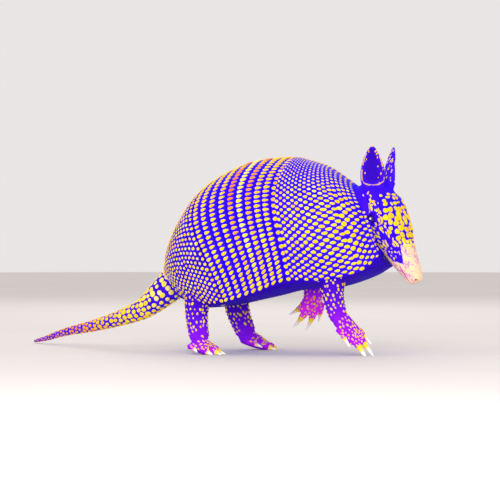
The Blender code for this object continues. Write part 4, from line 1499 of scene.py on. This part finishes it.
eyes = [eyeball("eye_left", EYES[1], 1), eyeball("eye_right", EYES[-1], -1)]
print("two eyes with", triangles(*eyes), "triangles")

# %% [markdown]
# ## The finish of the hide
#
# The hide is vivid violet on the neck, deep indigo under the chest, and runs through violet to
# magenta down the legs. The muzzle is bare and pale peach, with fine creases. The border between
# violet and peach isn't a clean line, so noise shifts it. Fine cells give the skin its grain.

# %% Hide
WHITE = (255, 255, 255)
INDIGO, VIOLET = (50, 8, 196), (66, 14, 255)
LEG_COLOURS = {0.0: INDIGO, 0.25: (62, 10, 196), 0.5: (102, 20, 232), 0.7: (160, 26, 250),
               0.84: (194, 32, 244), 0.92: (236, 44, 255), 1.0: (255, 60, 255)}
# Where the bare skin starts along the head, from the jaw to the forehead, in tenths of a metre.
# Along the cheek the violet runs down to a point, and above and below it starts earlier.
MUZZLE_EDGE = {0.1: 0.77, 0.2: 0.76, 0.29: 0.86, 0.5: 0.94, 0.54: 0.92, 0.66: 0.76, 0.9: 0.79}


def muzzle_skin(skin, border, head_u, head_w):
    """Peach, yellower before the forehead, fine lines, a lip line, painted shade in nostrils."""
    waves = skin.node("ShaderNodeVectorMath", {"operation": "SCALE"},
                      {0: skin.noise(130, 2, output=1), "Scale": 0.012})
    net = skin.node("ShaderNodeVectorMath", {"operation": "ADD"}, {0: skin.place, 1: waves})
    cracks = skin.cells(235, "DISTANCE_TO_EDGE", net)
    lines = cracks.between(0.12, 0.05) * skin.noise(170, 2).between(0.43, 0.5)
    lines = lines * border.between(36, 14)
    bare = skin.mix(skin.noise(90), (255, 212, 162), (255, 226, 186))
    bare = skin.mix(border.between(9, 1) * head_w.between(4, 9) * 0.7, bare, (255, 222, 90))
    bare = skin.mix(lines * 0.85, bare, (206, 96, 206))
    lip = abs(head_w + 5.3).between(1.0, 0.35) * head_u.between(90, 97)
    bare = skin.mix(lip * 0.8, bare, (196, 50, 180))
    # Painted shade darkens each nostril pit.
    return skin.mix(skin.attribute("pit").between(0.15, 0.6), bare, (132, 26, 118))


def ear_skin(skin, mottle):
    """Violet behind, indigo inside, with a broken gold line near the rim."""
    inner, rim = skin.attribute("inner"), skin.attribute("rim")
    inside = skin.mix(rim.between(0.3, 0.9) * 0.6 + mottle * 0.5, (46, 8, 164), (74, 20, 232))
    ears = skin.mix(inner, (70, 20, 236), inside)
    edge = rim + (mottle - 0.5) * 0.12
    gold = edge.between(0.78, 0.84) * edge.between(0.94, 0.9) * inner
    return skin.mix(gold * skin.noise(150, 2).between(0.4, 0.47), ears, (248, 186, 34))


def hide_finish():
    skin = Finish("hide", Roughness=0.5, Specular_IOR_Level=0.02)
    height = skin.node("ShaderNodeSeparateXYZ", None, {0: skin.place}, 2)
    mottle, fine = skin.noise(60, 4, 0.6), skin.noise(420, 3, 0.6)
    head_u, head_w = skin.attribute("head_u"), skin.attribute("head_w")
    on_head = skin.attribute("on_head")
    body = skin.mix((height + mottle * 0.02).between(0.115, 0.15), INDIGO, VIOLET)
    limb = skin.attribute("limb") + (mottle - 0.5) * 0.16
    colour = skin.mix(limb.between(0.02, 0.12), body, skin.ramp(limb, LEG_COLOURS))
    colour = skin.mix(on_head, colour, (62, 14, 246))
    edge = skin.ramp(head_w * 0.02 + 0.5, MUZZLE_EDGE)
    border = head_u + (mottle - 0.5) * 5 + (fine - 0.5) * 2 - edge * 100
    colour = skin.mix(border.between(-0.8, 0.8) * on_head, colour,
                      muzzle_skin(skin, border, head_u, head_w))
    # A thin yellow edge follows the border along the jaw.
    yellow = (border + 1.6).between(-1.3, -0.5) * border.between(0.6, -0.4)
    colour = skin.mix(yellow * head_w.between(-9, -12) * on_head, colour, (255, 214, 30))
    # Painted shade round each eye: the lids and the skin near them turn dark indigo.
    colour = skin.mix(skin.attribute("lid") * 0.85, colour, (44, 10, 138))
    colour = skin.mix(skin.attribute("ear"), colour, ear_skin(skin, mottle))
    shade = skin.mix(0.35, WHITE, skin.ramp(fine, {0.2: (196, 190, 214), 0.75: WHITE}))
    colour = skin.mix(0.6, colour, shade, "MULTIPLY")
    skin.set(Base_Color=colour, Roughness=0.6 + 0.2 * fine)
    grain = skin.cells(520, "DISTANCE_TO_EDGE").between(0.0, 0.25) * 0.55 + fine * 0.45
    skin.bump(grain, 0.00028, 0.8)
    return skin


hide_finish().put_on(hide)
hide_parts("trunk", "neck", "head", "lower_jaw", "ear_left", "ear_right", *LEGS, *FEET)

# %% [markdown]
# ## The finish of the armour
#
# Bone under the scutes is covered by thin skin, which is blue violet here. The scutes are horn,
# from pale cream through yellow to orange. Each scute stores its own tone, and a random number for
# each one moves it a little, so that no two are alike. Growth lines follow the outline, the rim is
# deeper in colour, and the top is worn smooth.

# %% Plate skin
def plate_finish(name, light, dark):
    skin = Finish(name, Specular_IOR_Level=0.05)
    mottle, fine = skin.noise(75, 4, 0.6), skin.noise(520, 3, 0.6)
    colour = skin.mix(mottle.between(0.3, 0.7), dark, light)
    specks = 1 - skin.cells(240).between(0.1, 0.3)
    colour = skin.mix(specks * skin.noise(110, 2).between(0.5, 0.6) * 0.8, colour, (24, 4, 110))
    skin.set(Base_Color=colour, Roughness=0.38 + 0.25 * fine)
    skin.bump(fine * 0.6 + mottle * 0.4, 0.0003, 0.7)
    return skin


shell_plates = [obj for obj in plates if not obj.name.startswith("pelvic")]
hip_plates = [obj for obj in plates if obj.name.startswith("pelvic")]
plate_finish("plate skin", (52, 8, 250), (34, 2, 226)).put_on(*shell_plates, face_plate)
plate_finish("hip skin", (52, 6, 214), (38, 2, 178)).put_on(*hip_plates)
plate_finish("tail skin", (66, 8, 236), (46, 4, 190)).put_on(tail_skin)
print("plate skin on", len(plates) + 2, "pieces")

# %% Horn
# From cream at a tone of -1.2, through yellow, to red at a tone of 2.
HORN_COLOURS = {0.0: (255, 240, 160), 0.2: (255, 232, 84), 0.34: (255, 218, 2), 0.5: (255, 200, 2),
                0.68: (255, 146, 2), 0.85: (248, 100, 16), 1.0: (226, 56, 40)}
PALEST, TONE_SPAN = -1.2, 3.2
GROWTH = 26  # radians of growth lines from the top of a scute to its foot


def horn_finish():
    horn = Finish("horn", Specular_IOR_Level=0.15, Coat_Roughness=0.25)
    tone, rim = horn.attribute("tone"), horn.attribute("rim")
    own = horn.node("ShaderNodeNewGeometry", output="Random Per Island")
    mottle, fine = horn.noise(260, 4, 0.6), horn.noise(900, 3, 0.6)
    shift = tone + (own - 0.5) * 0.35 + (mottle - 0.5) * 0.4
    colour = horn.ramp((shift - PALEST) * (1 / TONE_SPAN), HORN_COLOURS)
    # Some scutes have an orange smudge on top, and each one is browner round its foot.
    smudge = 1 - (rim + (mottle - 0.5) * 0.9).between(0.1, 0.55)
    colour = horn.mix(smudge * own.between(0.55, 0.75) * 0.55, colour, (255, 150, 10))
    foot = (rim + (fine - 0.5) * 0.35).between(0.86, 1.06)
    colour = horn.mix(foot * 0.7, colour, (236, 150, 12))
    gloss = 1 - rim.between(0.5, 1.0)
    horn.set(Base_Color=colour, Roughness=0.34 + 0.25 * fine, Coat_Weight=0.08 * gloss)
    growth = rim.maths("SINE", rim * GROWTH) * 0.5 + 0.5
    horn.bump(growth * 0.35 + mottle * 0.4 + fine * 0.25, 0.00022, 0.7)
    return horn


scutes = [shoulder_scutes, hip_scutes, tail_pebbles, leg_scutes, head_scutes]
scutes += [throat_scutes, ear_scutes] + band_scutes
horn_finish().put_on(*scutes)
print("horn on", len(scutes), "pieces")

# %% Claws and eyes
# From the nail bed, which is yellow, to the clear tip.
NAIL_COLOURS = {0.0: (190, 110, 90), 0.14: (238, 176, 34), 0.24: (255, 214, 20),
                0.46: (255, 222, 50), 0.54: (250, 232, 206), 0.72: (255, 255, 246),
                0.95: (255, 250, 244), 1.0: (206, 170, 214)}


def claw_finish():
    nail = Finish("claw", Specular_IOR_Level=0.5)
    along, fine, streak = nail.attribute("along"), nail.noise(700, 3, 0.6), nail.noise(300, 2)
    colour = nail.ramp(along + (streak - 0.5) * 0.12, NAIL_COLOURS)
    nail.set(Base_Color=colour, Roughness=0.26 + 0.2 * fine)
    nail.bump(fine * 0.5 + streak * 0.5, 0.0002, 0.5)
    return nail


def eye_finish():
    eye = Finish("eye", Roughness=0.06, Specular_IOR_Level=0.3, Coat_Roughness=0.02, Coat_IOR=1.4)
    pole, fibres = eye.attribute("from_pole"), eye.noise(900, 3, 0.6)
    pupil = (pole + (fibres - 0.5) * 0.08).between(0.45, 0.6)
    colour = eye.mix(pupil, (14, 4, 44), (66, 20, 160))
    colour = eye.mix(pole.between(0.9, 1.05), colour, (34, 10, 100))
    # A painted catch light, as a model maker adds: a real one would need a window to mirror.
    colour = eye.mix(eye.attribute("glint"), colour, WHITE)
    eye.set(Base_Color=colour, Coat_Weight=1.0)
    return eye


claw_finish().put_on(*claws)
eye_finish().put_on(*eyes)
print("claws and eyes finished")

# %% [markdown]
# ## Riding, floor, light and camera
#
# Nothing here moves, so every piece rides on the one body. The floor is a wide pale disc with a
# soft grain. Three large soft lights and a low one, for the raised paw, keep the shadows open. The
# camera stands level with the animal, a little behind its right shoulder line.

# %% Ride on the body
made = [hide, face_plate, tail_skin] + scutes + plates + claws + eyes
for obj in made:
    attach(obj, "root")
print(len(made), "pieces,", triangles(*made), "triangles in all")

# %% Floor and world
FLOOR_RADIUS, FLOOR_THICK, FLOOR_GAP = 6.0, 0.05, 0.0004  # metres
FLOOR_SIDES = 96


def pale_floor():
    turns = round_the_clock(FLOOR_SIDES)
    ring = np.stack((np.cos(turns), np.sin(turns), 0 * turns), -1) * FLOOR_RADIUS
    points = np.concatenate((ring, ring - (0, 0, FLOOR_THICK))) - (0, 0, FLOOR_GAP)
    top = list(range(FLOOR_SIDES))
    faces = [top, [i + FLOOR_SIDES for i in reversed(top)]]
    faces += [[a, b, b + FLOOR_SIDES, a + FLOOR_SIDES] for a, b in zip(top, top[1:] + top[:1])]
    mesh = bpy.data.meshes.new("floor")
    mesh.from_pydata(points.tolist(), [], faces)
    obj = add_to_scene("floor", mesh)
    plaster = Finish("plaster", Roughness=0.8, Specular_IOR_Level=0.1)
    plaster.set(Base_Color=plaster.mix(plaster.noise(3, 4), (222, 217, 213), (230, 226, 223)))
    plaster.put_on(obj)
    return obj


floor = pale_floor()
world = bpy.data.worlds.new("studio")
bpy.context.scene.world = world
world.use_nodes = True
background = world.node_tree.nodes["Background"]
background.inputs["Color"].default_value = (*tint(244, 240, 240), 1)
background.inputs["Strength"].default_value = 0.9
bpy.context.scene.view_settings.view_transform = "Standard"
print("floor and world made")

# %% Lights
middle = np.mean(CAD_BOX, 0)


def soft_light(name, away, size, power):
    """A square light of this many metres and watts, which faces the middle of the animal."""
    data = bpy.data.lights.new(name, "AREA")
    data.size, data.energy = size, power
    obj = add_to_scene(name, data)
    obj.location = Vector(middle + np.array(away))
    obj.rotation_euler = (Vector(middle) - obj.location).to_track_quat("-Z", "Y").to_euler()
    return obj


soft_light("key", (0.55, -1.7, 0.75), 0.8, 15)
soft_light("fill", (-1.3, -1.4, 0.3), 1.4, 7)
soft_light("low", (0.35, -1.75, 0.04), 0.28, 5)
soft_light("back", (-0.3, 1.5, 1.2), 1.2, 7)
print("four lights")

# %% Camera
AZIMUTH, ELEVATION, DISTANCE, VIEW_WIDTH = math.radians(16), math.radians(0.3), 2.6, 0.55
SENSOR_WIDTH = 36  # millimetres
camera = add_to_scene("camera", bpy.data.cameras.new("camera"))
camera.data.lens = SENSOR_WIDTH * DISTANCE / VIEW_WIDTH
camera.data.clip_end = 50
target = Vector((np.array((-34.0, 0.0, 112.0)) + SHIFT) * MM)
flat = math.cos(ELEVATION)
back = Vector((math.sin(AZIMUTH) * flat, -math.cos(AZIMUTH) * flat, math.sin(ELEVATION)))
camera.location = target + back * DISTANCE
camera.rotation_euler = (-back).to_track_quat("-Z", "Y").to_euler()
bpy.context.scene.camera = camera
print("camera at", np.round(camera.location, 2).tolist())
